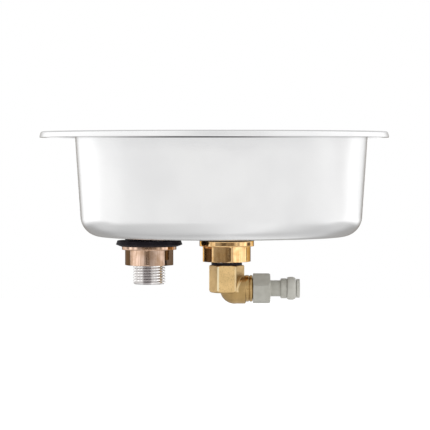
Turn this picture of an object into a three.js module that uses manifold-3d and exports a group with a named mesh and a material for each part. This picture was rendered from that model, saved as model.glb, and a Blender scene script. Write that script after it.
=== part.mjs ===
// Drop-in glass rinser: a round steel bowl with a waste fitting and a press-down spray valve.
// Millimetres, +Z up. The origin is on the rim's axis, at the height of the counter that the lip stands on.
// The waste lies toward -X and the water tube enters from +X.

import * as THREE from 'three';
import { mergeVertices } from 'three/addons/utils/BufferGeometryUtils.js';
import Module from 'manifold-3d';

const wasm = await Module();
wasm.setup();

// Flats of a hexagon, and fits shared by all pieces
const hexFlats = 6;
const runningGap = 0.15; // around a piece that slides or screws in another
const seatGap = 0.3; // under a piece that rests on its seat but isn't clamped there
const holeGap = 0.5; // around a shank in the sheet
const overrun = 2; // how far a cutter passes the face that it opens
const edgeBreak = 0.5; // turned edges

// Pressed bowl with its rim and turned-down lip
const sheet = 1;
const rimOverhang = 18.5;
const lipHeight = 4;
const lipFlare = 0.9;
const lipBend = 1.6;
const bowlOffset = 4.6;
const bowlRadius = 96.5;
const bowlDepth = 69;
const wallLean = 4.55;
const mouthBend = 2.4;
const floorBend = 13.5;

// Parallel pipe threads, by their outer radius and pitch
const halfInchRadius = 10.48;
const halfInchPitch = 1.814;
const halfInchDepth = 1.16;
const threeEighthRadius = 8.33;
const quarterInchRadius = 6.58;

// Flanged back nut with eight flats, the same on both fittings
const nutFlats = 8;
const nutWall = 4.72;
const nutCornerWall = 5.52;
const nutFlangeWidth = 7.52;
const nutFlange = 3.6;
const nutBody = 10.2;

// Waste fitting
const drainFromBowl = -47.6;
const recessClearance = 0.6;
const recessDepth = 1.4;
const drainFlangeWidth = 3.52;
const drainFlange = 1;
const drainFlangeSeal = 0.6;
const tailLength = 31.9;
const tailWall = 1.32;
const strainerRimWall = 1.38;
const strainerSheet = 1;
const strainerDrop = 1.5;
const strainerHoleRadius = 1.1;
const strainerKnobRadius = 2.2;
const strainerKnobHeight = 5;
const drainSealStepWidth = 0.3;
const drainSealStep = 1.4;
const drainSealTopWidth = 3;
const drainSealWidth = 4;
const drainSealRim = 2.7;
const drainSealSkirt = 1.3;
const drainSealCup = 1.5;

// Spray valve
const inletFromBowl = 3.6;
const valveFlangeWidth = 6.52;
const valveFlange = 3;
const valveFlangeSeal = 1.5;
const columnWall = 2.8;
const columnHeight = 22.8;
const chamberFloorWall = 4.9;
const shankBoreWall = 2.73;
const inletSealProud = 0.3;
const inletSeal = 3;
const shankProud = 0.5;
const shankWasher = 1.9;
const shankWasherWidth = 1.82;
const shankTail = 9.2;

// Bonnet that closes the valve and holds its seat
const bonnetSeal = 1;
const bonnetHex = 9.5;
const bonnetSpigot = 12;
const bonnetSpigotWall = 2.4;
const bonnetChamber = 8.5;
const seatThickness = 1.5;
const seatLedge = 0.8;
const seatRidge = 0.6;
const seatRidgeWidth = 1.2;

// Plunger, its seals and its spring
const stemRadius = 4;
const stemWall = 1.8;
const stemFlowGap = 1;
const crossHoleRadius = 1.3;
const oRingRadius = 0.85;
const plungerSealWidth = 2;
const plungerSeal = 2;
const headEdge = 0.4;
const headThickness = 2.5;
const headSpigot = 4;
const springWire = 1.2;
const springWireSeat = 1.4;
const springPlay = 1.2;
const springCurls = 7;
const pressTravel = 6;
const stopGap = 0.5;

// Spray star and its cap
const starBelowRim = 7;
const starArms = 6;
const starReach = 41;
const armRootWidth = 9;
const armTipWidth = 6.5;
const armHeight = 4.6;
const armBevel = 0.8;
const tipFinWidth = 2.4;
const tipFinLength = 9;
const tipFinHeight = 3;
const hubNeckWall = 3.5;
const hubShoulder = 3.5;
const hubChamberWidth = 1.5;
const hubChamber = 3.6;
const channelRadius = 1.3;
const jetRadius = 0.8;
const capLedge = 2.6;
const capRim = 1.6;
const capPlug = 1.5;

// Cast elbow
const elbowWall = 2.02;
const elbowCornerWall = 3.37;
const elbowSocket = 18.1;
const elbowFloor = 2;
const elbowChamfer = 1.3;
const branchDrop = 15.3;
const bendShoulder = 0.4;
const bendForward = 5.2;
const bendBelowBranch = 0.6;
const barrelShoulder = 2.62;
const barrelLength = 12.5;
const barrelBelowBranch = 0.9;
const collar = 4.6;
const collarShoulder = 2.22;
const stubLength = 8.3;
const stubWall = 2.38;

// Moulded push-fit adapter, measured outward from the elbow's collar
const adapterHexWall = 2.67;
const adapterTurn = 18;
const adapterHexChamfer = 1.2;
const adapterFloor = 1.4;
const adapterSeal = 1.3;
const adapterSealLedge = 1;
const tubeRadius = 3.175;
const tubeStop = 0.575;
const tubeSlip = 0.125;
const neckWall = 1.9;
const neckLength = 6.8;
const ringStep = 0.7;
const ringLength = 4.1;
const spigotWall = 0.8;
const spigotLength = 1.4;
const socketClearance = 0.225;
const socketDepth = 2.3;
const capBulge = 1;
const capShellLength = 5.7;
const capMouthGap = 0.25;
const colletWall = 0.85;
const colletFlangeWidth = 2.05;
const colletFlange = 2.3;
const colletLipStep = 0.55;
const colletLip = 1.5;
const colletSlot = 0.8;
const colletTravel = 1.5;

// Smoothness, in steps
const bowlSteps = 44;
const turnedSteps = 24;
const smallSteps = 16;
const holeSteps = 6;
const threadSteps = 12;
const ringSteps = 6;

// Radii and widths that follow from the sizes above, from the rim inward
const rimRadius = bowlRadius + rimOverhang;
const nutFlangeRadius = halfInchRadius + nutFlangeWidth;
const nutAcrossFlats = 2 * (halfInchRadius + nutWall);
const nutTurnedRadius = halfInchRadius + nutCornerWall;
const drainFlangeRadius = halfInchRadius + drainFlangeWidth;
const recessRadius = drainFlangeRadius + recessClearance;
const tailBoreRadius = halfInchRadius - halfInchDepth - tailWall;
const strainerRadius = halfInchRadius - strainerRimWall;
const drainSealStepRadius = recessRadius + sheet + drainSealStepWidth;
const drainSealTopRadius = nutFlangeRadius + drainSealTopWidth;
const drainSealRadius = nutFlangeRadius + drainSealWidth;
const inletSealRadius = nutFlangeRadius + inletSealProud;
const valveFlangeRadius = halfInchRadius + valveFlangeWidth;
const stemBoreRadius = stemRadius - stemWall;
const seatBoreRadius = stemRadius + stemFlowGap;
const bonnetChamberRadius = seatBoreRadius + seatLedge;
const chamberRadius = bonnetChamberRadius + bonnetSpigotWall;
const columnRadius = chamberRadius + columnWall;
const bonnetAcrossFlats = 2 * (columnRadius - edgeBreak);
const plungerSealRadius = seatBoreRadius + plungerSealWidth;
const headRadius = plungerSealRadius - headEdge;
const springRadius = headRadius - springWireSeat;
const headSpigotRadius = springRadius - springWire / 2 - springPlay;
const hubNeckRadius = stemRadius + hubNeckWall;
const hubRadius = hubNeckRadius + hubShoulder;
const hubChamberRadius = stemRadius + hubChamberWidth;
const capRadius = hubRadius - capLedge;
const shankBoreRadius = threeEighthRadius - shankBoreWall;
const shankWasherRadius = threeEighthRadius + shankWasherWidth;
const elbowAcrossFlats = 2 * (threeEighthRadius + elbowWall);
const elbowTurnedRadius = threeEighthRadius + elbowCornerWall;
const barrelRadius = quarterInchRadius + barrelShoulder;
const bendRadius = barrelRadius + bendShoulder;
const collarRadius = quarterInchRadius + collarShoulder;
const collarEnd = barrelLength + collar;
const branchBoreRadius = quarterInchRadius - stubWall;
const adapterAcrossFlats = 2 * (quarterInchRadius + adapterHexWall);
const adapterBoreRadius = tubeRadius - tubeStop;
const adapterSealBoreRadius = adapterBoreRadius + adapterSealLedge;
const socketRadius = tubeRadius + socketClearance;
const neckRadius = socketRadius + neckWall;
const sealPocketRadius = socketRadius + 2 * oRingRadius;
const spigotRadius = sealPocketRadius + spigotWall;
const ringRadius = spigotRadius + ringStep;
const capShellRadius = ringRadius + capBulge;
const colletBoreRadius = tubeRadius + tubeSlip;
const colletStemRadius = colletBoreRadius + colletWall;
const colletLipRadius = colletStemRadius + colletLipStep;
const colletFlangeRadius = colletStemRadius + colletFlangeWidth;
const capMouthRadius = colletStemRadius + capMouthGap;

// Levels that follow from the sizes above
const rimTop = lipHeight;
const floorUnder = rimTop - bowlDepth;
const floorTop = floorUnder + sheet;
const recessTop = floorTop - recessDepth;
const recessUnder = recessTop - sheet;
const drainFlangeUnder = recessTop + drainFlangeSeal;
const drainFlangeTop = drainFlangeUnder + drainFlange;
const strainerSeat = drainFlangeTop - strainerDrop;
const tailEnd = drainFlangeUnder - tailLength;
const drainNutTop = recessUnder - drainSealStep - drainSealRim - drainSealSkirt + drainSealCup;
const valveFlangeUnder = floorTop + valveFlangeSeal;
const columnBase = valveFlangeUnder + valveFlange;
const columnTop = columnBase + columnHeight;
const bonnetBase = columnTop + bonnetSeal;
const bonnetTop = bonnetBase + bonnetHex;
const seatUnder = columnTop - bonnetSpigot;
const bonnetChamberTop = seatUnder + seatThickness + bonnetChamber;
const sealTop = seatUnder - seatRidge - seatGap;
const headTop = sealTop - plungerSeal;
const headUnder = headTop - headThickness;
const inletNutTop = floorUnder - inletSeal;
const shankShoulder = inletNutTop - nutFlange - nutBody - shankProud;
const chamberFloor = shankShoulder + chamberFloorWall;
const elbowTop = shankShoulder - shankWasher;
const shankEnd = elbowTop - shankTail;
const branchLevel = elbowTop - branchDrop;
const starTop = rimTop - starBelowRim;
const armTop = starTop - tipFinHeight;
const armUnder = armTop - armHeight;
const hubUnder = bonnetTop + pressTravel + stopGap;
const hubChamberFloor = armTop - hubChamber - capPlug;
const stemTop = hubChamberFloor - seatGap;
const drainX = bowlOffset + drainFromBowl;
const inletX = bowlOffset + inletFromBowl;

// Turns a closed geometry into a solid, with shared corners merged and its faces outward.
function solidOf(geometry) {
  const bare = geometry.clone();
  bare.deleteAttribute('normal');
  bare.deleteAttribute('uv');
  const merged = mergeVertices(bare);
  const places = merged.attributes.position.array;
  const corners = [];
  for (let i = 0; i < merged.index.count; i += 3) {
    const [a, b, c] = [0, 1, 2].map((k) => merged.index.getX(i + k));
    if (a !== b && b !== c && c !== a) corners.push(a, b, c);
  }
  const volume = signedVolume(places, corners);
  const order = volume < 0 ? corners.reverse() : corners;
  const vertProperties = new Float32Array(places);
  const triVerts = new Uint32Array(order);
  return new wasm.Manifold(new wasm.Mesh({ numProp: 3, vertProperties, triVerts }));
}

function signedVolume(places, corners) {
  const a = new THREE.Vector3();
  const b = new THREE.Vector3();
  const c = new THREE.Vector3();
  let sum = 0;
  for (let i = 0; i < corners.length; i += 3) {
    a.fromArray(places, 3 * corners[i]);
    b.fromArray(places, 3 * corners[i + 1]);
    c.fromArray(places, 3 * corners[i + 2]);
    sum += a.dot(b.cross(c));
  }
  return sum;
}

function mesh(name, solid, material) {
  const { vertProperties, triVerts } = solid.getMesh();
  const geometry = new THREE.BufferGeometry();
  geometry.setAttribute('position', new THREE.BufferAttribute(vertProperties, 3));
  geometry.setIndex(new THREE.BufferAttribute(triVerts, 1));
  geometry.computeVertexNormals();
  const result = new THREE.Mesh(geometry, material);
  result.name = name;
  return result;
}

// Revolves a profile of [radius, height] points about Z. A profile off the axis is closed first.
function turned(profile, steps = turnedSteps) {
  const points = profile.map(([radius, height]) => new THREE.Vector2(radius, height));
  const onAxis = points[0].x === 0 && points.at(-1).x === 0;
  if (!onAxis) points.push(points[0].clone());
  return solidOf(new THREE.LatheGeometry(points, steps).rotateX(Math.PI / 2));
}

// A solid rod about Z, used for plain bodies and for cutting bores.
function rod(radius, low, high, steps = turnedSteps) {
  return turned([[0, low], [radius, low], [radius, high], [0, high]], steps);
}

// A flat ring about Z with broken outer edges.
function ring(inner, outer, low, high, edge, steps = turnedSteps) {
  return turned([
    [inner, low], [outer - edge, low], [outer, low + edge],
    [outer, high - edge], [outer - edge, high], [inner, high],
  ], steps);
}

// A round-section sealing ring about Z.
function oRing(inner, level, steps = smallSteps) {
  const profile = [];
  for (let i = 0; i < ringSteps; i += 1) {
    const angle = (2 * Math.PI * i) / ringSteps;
    const radius = inner + oRingRadius + oRingRadius * Math.cos(angle);
    profile.push([radius, level + oRingRadius * Math.sin(angle)]);
  }
  return turned(profile, steps);
}

// A rod that lies along a direction in the XY plane, from one radius to another at one level.
function spoke(radius, from, to, level, angle, steps = holeSteps) {
  const geometry = new THREE.CylinderGeometry(radius, radius, to - from, steps);
  geometry.rotateZ(Math.PI / 2).translate((from + to) / 2, 0, level).rotateZ(angle);
  return solidOf(geometry);
}

// A prism of equal flats about Z, with one corner at the turn.
function prism(flats, acrossFlats, low, high, turn) {
  const shape = new THREE.Shape();
  const corner = acrossFlats / 2 / Math.cos(Math.PI / flats);
  for (let i = 0; i < flats; i += 1) {
    const angle = turn + (2 * Math.PI * i) / flats;
    const place = [corner * Math.cos(angle), corner * Math.sin(angle)];
    if (i === 0) shape.moveTo(...place);
    else shape.lineTo(...place);
  }
  const geometry = new THREE.ExtrudeGeometry(shape, { depth: high - low, bevelEnabled: false });
  return solidOf(geometry.translate(0, 0, low));
}

// A prism whose corners a lathe has cut back, with coned ends.
function turnedPrism(flats, acrossFlats, radius, low, high, lowEdge, highEdge, turn) {
  const envelope = turned([
    [0, low], [radius - lowEdge, low], [radius, low + lowEdge],
    [radius, high - highEdge], [radius - highEdge, high], [0, high],
  ]);
  return prism(flats, acrossFlats, low, high, turn).intersect(envelope);
}

// Points of an arc in the profile plane.
function arc(centre, radius, from, to, steps) {
  const points = [];
  for (let i = 0; i <= steps; i += 1) {
    const angle = from + ((to - from) * i) / steps;
    points.push([centre[0] + radius * Math.cos(angle), centre[1] + radius * Math.sin(angle)]);
  }
  return points;
}

// A threaded rod: rows of points climb as helixes, and the ragged ends are trimmed by a coned rod.
function threadedRod(low, high) {
  const root = halfInchRadius - halfInchDepth;
  const rowShares = [0, 0.18, 0.5, 0.68];
  const rowRadii = [halfInchRadius, halfInchRadius, root, root];
  const rowsPerTurn = rowShares.length;
  const turns = Math.ceil((high - low) / halfInchPitch) + 3;
  const places = [];
  for (let row = 0; row <= turns * rowsPerTurn; row += 1) {
    const radius = rowRadii[row % rowsPerTurn];
    const turn = Math.floor(row / rowsPerTurn) + rowShares[row % rowsPerTurn];
    for (let step = 0; step < threadSteps; step += 1) {
      const angle = (2 * Math.PI * step) / threadSteps;
      const height = low + halfInchPitch * (turn - 2 + step / threadSteps);
      places.push(radius * Math.cos(angle), radius * Math.sin(angle), height);
    }
  }
  const at = (step, row) => {
    const wraps = step === threadSteps;
    return wraps ? (row + rowsPerTurn) * threadSteps : row * threadSteps + step;
  };
  const lastRow = (turns - 1) * rowsPerTurn;
  const corners = [];
  for (let row = 0; row < lastRow; row += 1) {
    for (let step = 0; step < threadSteps; step += 1) {
      corners.push(at(step, row), at(step + 1, row), at(step + 1, row + 1));
      corners.push(at(step, row), at(step + 1, row + 1), at(step, row + 1));
    }
  }
  const foot = places.length / 3;
  places.push(0, 0, low - 3 * halfInchPitch, 0, 0, high + 3 * halfInchPitch);
  const edge = (row) => {
    const loop = [];
    for (let step = 0; step < threadSteps; step += 1) loop.push(at(step, row));
    for (let back = rowsPerTurn; back > 0; back -= 1) loop.push(at(0, row + back));
    return loop;
  };
  const lowEdge = edge(0);
  const highEdge = edge(lastRow);
  for (let i = 0; i < lowEdge.length; i += 1) {
    const next = (i + 1) % lowEdge.length;
    corners.push(foot, lowEdge[next], lowEdge[i]);
    corners.push(foot + 1, highEdge[i], highEdge[next]);
  }
  const geometry = new THREE.BufferGeometry();
  geometry.setAttribute('position', new THREE.Float32BufferAttribute(places, 3));
  geometry.setIndex(corners);
  const cone = halfInchDepth;
  const envelope = turned([
    [0, low], [halfInchRadius - cone, low], [halfInchRadius + cone, low + 2 * cone],
    [halfInchRadius + cone, high], [0, high],
  ]);
  return solidOf(geometry).intersect(envelope);
}

// Profile of the pressing, from the floor's centre outward underneath and back over the top.
// Each point is [radius, height, centre], because the bowl sits off the rim's centre.
function bowlProfile() {
  const height = bowlDepth - sheet;
  const lean = Math.atan(wallLean / height);
  const flare = Math.atan(lipFlare / lipHeight);
  const wallRadius = (level) => bowlRadius - wallLean + (wallLean * (level - floorUnder)) / height;
  const floorCentre = [
    wallRadius(floorUnder + floorBend) - floorBend / Math.cos(lean),
    floorUnder + floorBend,
  ];
  const mouthLevel = rimTop - sheet - mouthBend;
  const mouthCentre = [wallRadius(mouthLevel) + mouthBend / Math.cos(lean), mouthLevel];
  const lipLevel = rimTop - lipBend;
  const lipCentre = [
    rimRadius - lipLevel * Math.tan(flare) - lipBend / Math.cos(flare),
    lipLevel,
  ];
  const down = -Math.PI / 2;
  const up = Math.PI / 2;
  const inward = Math.PI - lean;
  const onBowl = (points) => points.map(([radius, level]) => [radius, level, bowlOffset]);
  const onRim = (points) => points.map(([radius, level]) => [radius, level, 0]);
  return [
    [0, floorUnder, bowlOffset],
    ...onBowl(arc(floorCentre, floorBend, down, -lean, 5)),
    ...onBowl(arc(mouthCentre, mouthBend, inward, up, 2)),
    ...onRim(arc(lipCentre, lipBend - sheet, up, flare, 2)),
    ...onRim([[rimRadius - sheet / Math.cos(flare), 0], [rimRadius, 0]]),
    ...onRim(arc(lipCentre, lipBend, flare, up, 3)),
    ...onBowl(arc(mouthCentre, mouthBend + sheet, up, inward, 3)),
    ...onBowl(arc(floorCentre, floorBend - sheet, -lean, down, 4)),
    [0, floorTop, bowlOffset],
  ];
}

// Joins circles of a profile into one closed skin. The first and last points are poles.
function skin(profile, steps) {
  const places = [];
  for (const [radius, level, centre] of profile) {
    for (let step = 0; step < steps; step += 1) {
      const angle = (2 * Math.PI * step) / steps;
      places.push(centre + radius * Math.cos(angle), radius * Math.sin(angle), level);
    }
  }
  const corners = [];
  for (let row = 0; row < profile.length - 1; row += 1) {
    for (let step = 0; step < steps; step += 1) {
      const next = (step + 1) % steps;
      const here = row * steps;
      const above = here + steps;
      corners.push(here + step, here + next, above + next);
      corners.push(here + step, above + next, above + step);
    }
  }
  const geometry = new THREE.BufferGeometry();
  geometry.setAttribute('position', new THREE.Float32BufferAttribute(places, 3));
  geometry.setIndex(corners);
  return solidOf(geometry);
}

// One pressing: bowl, rim and lip, with a shallow recess for the waste and two holes.
function bowl() {
  const drainAt = (geometry) => solidOf(geometry.translate(drainX, 0, 0));
  const disc = (radius, low, high) => new THREE.CylinderGeometry(radius, radius, high - low, turnedSteps)
    .rotateX(Math.PI / 2)
    .translate(0, 0, (low + high) / 2);
  const shell = skin(bowlProfile(), bowlSteps);
  const cup = drainAt(disc(recessRadius + sheet, recessUnder, floorTop));
  const recess = drainAt(disc(recessRadius, recessTop, floorTop + overrun));
  const hole = halfInchRadius + holeGap;
  const drainHole = drainAt(disc(hole, recessUnder - overrun, floorTop + overrun));
  const inletHole = disc(hole, floorUnder - overrun, floorTop + overrun).translate(inletX, 0, 0);
  const pressed = shell.add(cup).subtract(recess).subtract(drainHole).subtract(solidOf(inletHole));
  return mesh('bowl', pressed, steel());
}

// Waste body: a thin flange in the recess, a ledge for the strainer and a threaded tail.
function drainBody() {
  const flange = turned([
    [0, drainFlangeUnder], [drainFlangeRadius, drainFlangeUnder],
    [drainFlangeRadius, drainFlangeTop - edgeBreak], [drainFlangeRadius - edgeBreak, drainFlangeTop],
    [0, drainFlangeTop],
  ]);
  const neck = rod(halfInchRadius, drainNutTop - overrun, drainFlangeUnder + drainFlange / 2);
  const tail = threadedRod(tailEnd, drainNutTop);
  const pocket = rod(strainerRadius + seatGap, strainerSeat, drainFlangeTop + overrun);
  const bore = rod(tailBoreRadius, tailEnd - overrun, drainFlangeTop + overrun);
  return mesh('drain_body', flange.add(neck).add(tail).subtract(pocket).subtract(bore), plated());
}

function drainFlangeGasket() {
  const inner = halfInchRadius + runningGap;
  const seal = ring(inner, drainFlangeRadius, recessTop, drainFlangeUnder, 0);
  return mesh('drain_flange_gasket', seal, rubber());
}

// Stepped rubber seal under the floor. Its skirt cups the nut's flange.
function drainOuterGasket() {
  const inner = halfInchRadius + runningGap;
  const rimStart = recessUnder - drainSealStep;
  const rimEnd = rimStart - drainSealRim;
  const skirtEnd = rimEnd - drainSealSkirt;
  const cup = nutFlangeRadius + runningGap;
  const seal = turned([
    [inner, recessUnder], [drainSealStepRadius, recessUnder], [drainSealStepRadius, rimStart],
    [drainSealTopRadius, rimStart], [drainSealRadius, rimEnd],
    [cup + edgeBreak, skirtEnd], [cup, skirtEnd],
    [cup, drainNutTop], [inner, drainNutTop],
  ]);
  return mesh('drain_outer_gasket', seal, rubber());
}

function backNut(name, top, turn, material) {
  const flangeEnd = top - nutFlange;
  const end = flangeEnd - nutBody;
  const flange = ring(0, nutFlangeRadius, flangeEnd, top, edgeBreak);
  const lowEdge = nutTurnedRadius - nutAcrossFlats / 2;
  const join = nutFlange / 2;
  const body = turnedPrism(
    nutFlats, nutAcrossFlats, nutTurnedRadius, end, flangeEnd + join, lowEdge / 2, 0, turn,
  );
  const bore = rod(halfInchRadius + runningGap, end - overrun, top + overrun);
  return mesh(name, flange.add(body).subtract(bore), material);
}

// Lift-out strainer: a pierced disc with a small knob.
function drainStrainer() {
  const top = strainerSeat + strainerSheet;
  const waist = strainerKnobRadius / 2;
  const knobTop = strainerSeat + strainerKnobHeight;
  let strainer = turned([
    [0, strainerSeat], [strainerRadius, strainerSeat], [strainerRadius, top], [waist, top],
    [waist, knobTop - strainerKnobRadius], [strainerKnobRadius, knobTop - strainerKnobRadius / 2],
    [strainerKnobRadius, knobTop - edgeBreak], [strainerKnobRadius - edgeBreak, knobTop], [0, knobTop],
  ]);
  const rings = [{ holes: 10, share: 0.7 }, { holes: 5, share: 0.4 }];
  for (const { holes, share } of rings) {
    for (let i = 0; i < holes; i += 1) {
      const hole = new THREE.CylinderGeometry(strainerHoleRadius, strainerHoleRadius, 2 * overrun, holeSteps);
      hole.rotateX(Math.PI / 2).translate(strainerRadius * share, 0, strainerSeat + strainerSheet / 2);
      strainer = strainer.subtract(solidOf(hole.rotateZ((2 * Math.PI * i) / holes)));
    }
  }
  return mesh('drain_strainer', strainer, plated());
}

// Valve body: flange on the floor, column above it and a shank that steps down into the elbow.
function valveBody() {
  const outside = turned([
    [0, shankEnd], [threeEighthRadius - edgeBreak, shankEnd], [threeEighthRadius, shankEnd + edgeBreak],
    [threeEighthRadius, shankShoulder], [halfInchRadius, shankShoulder],
    [halfInchRadius, valveFlangeUnder], [valveFlangeRadius, valveFlangeUnder],
    [valveFlangeRadius, columnBase - edgeBreak], [valveFlangeRadius - edgeBreak, columnBase],
    [columnRadius, columnBase], [columnRadius, columnTop], [0, columnTop],
  ]);
  const chamber = rod(chamberRadius, chamberFloor, columnTop + overrun);
  const bore = rod(shankBoreRadius, shankEnd - overrun, columnTop);
  return mesh('valve_body', outside.subtract(chamber).subtract(bore), plated());
}

function valveFlangeGasket() {
  const inner = halfInchRadius + runningGap;
  return mesh('valve_flange_gasket', ring(inner, valveFlangeRadius, floorTop, valveFlangeUnder, 0), rubber());
}

function inletOuterGasket() {
  const inner = halfInchRadius + runningGap;
  return mesh('inlet_outer_gasket', ring(inner, inletSealRadius, inletNutTop, floorUnder, 0), rubber());
}

function shankWasherRing() {
  const inner = threeEighthRadius + runningGap;
  return mesh('shank_washer', ring(inner, shankWasherRadius, elbowTop, shankShoulder, 0), rubber());
}

// Bonnet: a hexagon with a spigot that screws into the column. The seat is its lower end.
function valveBonnet() {
  const turn = Math.PI / hexFlats;
  const acrossCorners = bonnetAcrossFlats / Math.cos(Math.PI / hexFlats);
  const turnedRadius = (bonnetAcrossFlats + acrossCorners) / 4;
  const hex = turnedPrism(
    hexFlats, bonnetAcrossFlats, turnedRadius, bonnetBase, bonnetTop, 0, edgeBreak, turn,
  );
  const ridgeOuter = seatBoreRadius + seatRidgeWidth;
  const spigot = turned([
    [0, seatUnder - seatRidge], [ridgeOuter, seatUnder - seatRidge], [ridgeOuter, seatUnder],
    [chamberRadius - runningGap, seatUnder], [chamberRadius - runningGap, bonnetBase + edgeBreak],
    [0, bonnetBase + edgeBreak],
  ]);
  const guide = rod(stemRadius + runningGap, bonnetChamberTop - overrun, bonnetTop + overrun);
  const chamber = rod(bonnetChamberRadius, seatUnder + seatThickness, bonnetChamberTop);
  const seatBore = rod(seatBoreRadius, seatUnder - overrun, seatUnder + seatThickness + overrun);
  const groove = oRingGroove(stemSealLevel());
  const body = hex.add(spigot).subtract(guide).subtract(chamber).subtract(seatBore).subtract(groove);
  return mesh('valve_bonnet', body, plated());
}

function stemSealLevel() {
  return (bonnetBase + bonnetTop) / 2;
}

function oRingGroove(level) {
  const half = oRingRadius + runningGap;
  return rod(stemRadius + 2 * half, level - half, level + half);
}

function bonnetGasket() {
  const inner = chamberRadius + runningGap;
  return mesh('bonnet_gasket', ring(inner, columnRadius - edgeBreak, columnTop, bonnetBase, 0), rubber());
}

function stemORing() {
  return mesh('stem_o_ring', oRing(stemRadius + runningGap, stemSealLevel()), rubber());
}

// Plunger: a hollow stem with two cross holes, a head for the seal and a spigot for the spring.
function valvePlunger() {
  const spigotEnd = headUnder - headSpigot;
  const outside = turned([
    [0, spigotEnd], [headSpigotRadius - edgeBreak, spigotEnd], [headSpigotRadius, spigotEnd + edgeBreak],
    [headSpigotRadius, headUnder], [headRadius, headUnder], [headRadius, headTop],
    [stemRadius, headTop], [stemRadius, stemTop], [0, stemTop],
  ]);
  const crossLevel = bonnetChamberTop - crossHoleRadius - seatGap;
  const bore = rod(stemBoreRadius, crossLevel - crossHoleRadius, stemTop + overrun, smallSteps);
  const reach = stemRadius + overrun;
  const cross = spoke(crossHoleRadius, -reach, reach, crossLevel, 0);
  return mesh('valve_plunger', outside.subtract(bore).subtract(cross), plated());
}

function plungerSealRing() {
  const inner = stemRadius + runningGap;
  return mesh('plunger_seal', ring(inner, plungerSealRadius, headTop, sealTop, 0), rubber());
}

// Centre line of the return spring: an even helix with open curls.
class SpringPath extends THREE.Curve {
  constructor(low, high) {
    super();
    this.low = low;
    this.high = high;
  }

  getPoint(share, target = new THREE.Vector3()) {
    const angle = 2 * Math.PI * springCurls * share;
    const level = this.low + (this.high - this.low) * share;
    return target.set(springRadius * Math.cos(angle), springRadius * Math.sin(angle), level);
  }
}

function returnSpring() {
  const wire = springWire / 2;
  const low = chamberFloor + seatGap + wire;
  const high = headUnder - seatGap - wire;
  const path = new SpringPath(low, high);
  const section = new THREE.Shape();
  const sides = 5;
  for (let i = 0; i < sides; i += 1) {
    const angle = (2 * Math.PI * i) / sides;
    const place = [wire * Math.cos(angle), wire * Math.sin(angle)];
    if (i === 0) section.moveTo(...place);
    else section.lineTo(...place);
  }
  const stepsPerCurl = 8;
  const steps = springCurls * stepsPerCurl;
  printLeastGap(path, steps, stepsPerCurl);
  const tube = new THREE.ExtrudeGeometry(section, { steps, extrudePath: path, bevelEnabled: false });
  return mesh('return_spring', solidOf(tube), springSteel());
}

// Measures on points how near one curl comes to the next.
function printLeastGap(path, steps, stepsPerCurl) {
  const points = path.getPoints(steps);
  let least = Infinity;
  for (let i = 0; i < points.length; i += 1) {
    for (let j = i + stepsPerCurl / 2; j < points.length; j += 1) {
      least = Math.min(least, points[i].distanceTo(points[j]) - springWire);
    }
  }
  console.log(`return_spring least gap to itself ${least.toFixed(2)} mm`);
}

function starArm(angle) {
  const start = hubChamberRadius;
  const end = starReach - armTipWidth / 2;
  const outline = new THREE.Shape();
  outline.moveTo(start, -armRootWidth / 2);
  outline.lineTo(end, -armTipWidth / 2);
  outline.absarc(end, 0, armTipWidth / 2, -Math.PI / 2, Math.PI / 2, false);
  outline.lineTo(start, armRootWidth / 2);
  outline.closePath();
  const bar = new THREE.ExtrudeGeometry(outline, {
    depth: armHeight - 2 * armBevel,
    bevelThickness: armBevel,
    bevelSize: armBevel,
    bevelOffset: -armBevel,
    bevelSegments: 1,
    curveSegments: 6,
  });
  bar.translate(0, 0, armUnder + armBevel).rotateZ(angle);
  const finDepth = tipFinHeight + armHeight / 2;
  const fin = new THREE.BoxGeometry(tipFinLength, tipFinWidth, finDepth);
  const finMiddle = end - tipFinLength / 2 + tipFinWidth / 2;
  fin.translate(finMiddle, 0, starTop - finDepth / 2).rotateZ(angle);
  return solidOf(bar).add(solidOf(fin));
}

// Vertical jet hole over an arm's channel.
function jet(radius, angle, low, high) {
  const hole = new THREE.CylinderGeometry(jetRadius, jetRadius, high - low, holeSteps);
  hole.rotateX(Math.PI / 2).translate(radius, 0, (low + high) / 2).rotateZ(angle);
  return solidOf(hole);
}

// Spray star: six hollow arms on a hub that fits over the stem.
function sprayStar() {
  let star = turned([
    [0, hubUnder], [hubNeckRadius - edgeBreak, hubUnder], [hubNeckRadius, hubUnder + edgeBreak],
    [hubNeckRadius, armUnder - armBevel], [hubRadius, armUnder + armBevel],
    [hubRadius, armTop - armBevel], [hubRadius - armBevel, armTop], [0, armTop],
  ]);
  const channelLevel = (armUnder + armTop) / 2;
  const channelEnd = starReach - tipFinLength - armTipWidth / 2;
  const jetShares = [0.45, 0.62];
  const cuts = [
    rod(stemRadius + runningGap, hubUnder - overrun, armTop),
    rod(hubChamberRadius, hubChamberFloor, armTop + overrun),
    oRingGroove(hubSealLevel()),
  ];
  for (let i = 0; i < starArms; i += 1) {
    const angle = (2 * Math.PI * (i + 1 / 2)) / starArms;
    star = star.add(starArm(angle));
    cuts.push(spoke(channelRadius, hubChamberRadius / 2, channelEnd, channelLevel, angle));
    for (const share of jetShares) {
      cuts.push(jet(starReach * share, angle, channelLevel, armTop + overrun));
    }
  }
  for (const cut of cuts) star = star.subtract(cut);
  return mesh('spray_star', star, moulded());
}

function hubSealLevel() {
  return (hubUnder + hubChamberFloor) / 2;
}

function starORing() {
  return mesh('star_o_ring', oRing(stemRadius + runningGap, hubSealLevel()), rubber());
}

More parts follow.
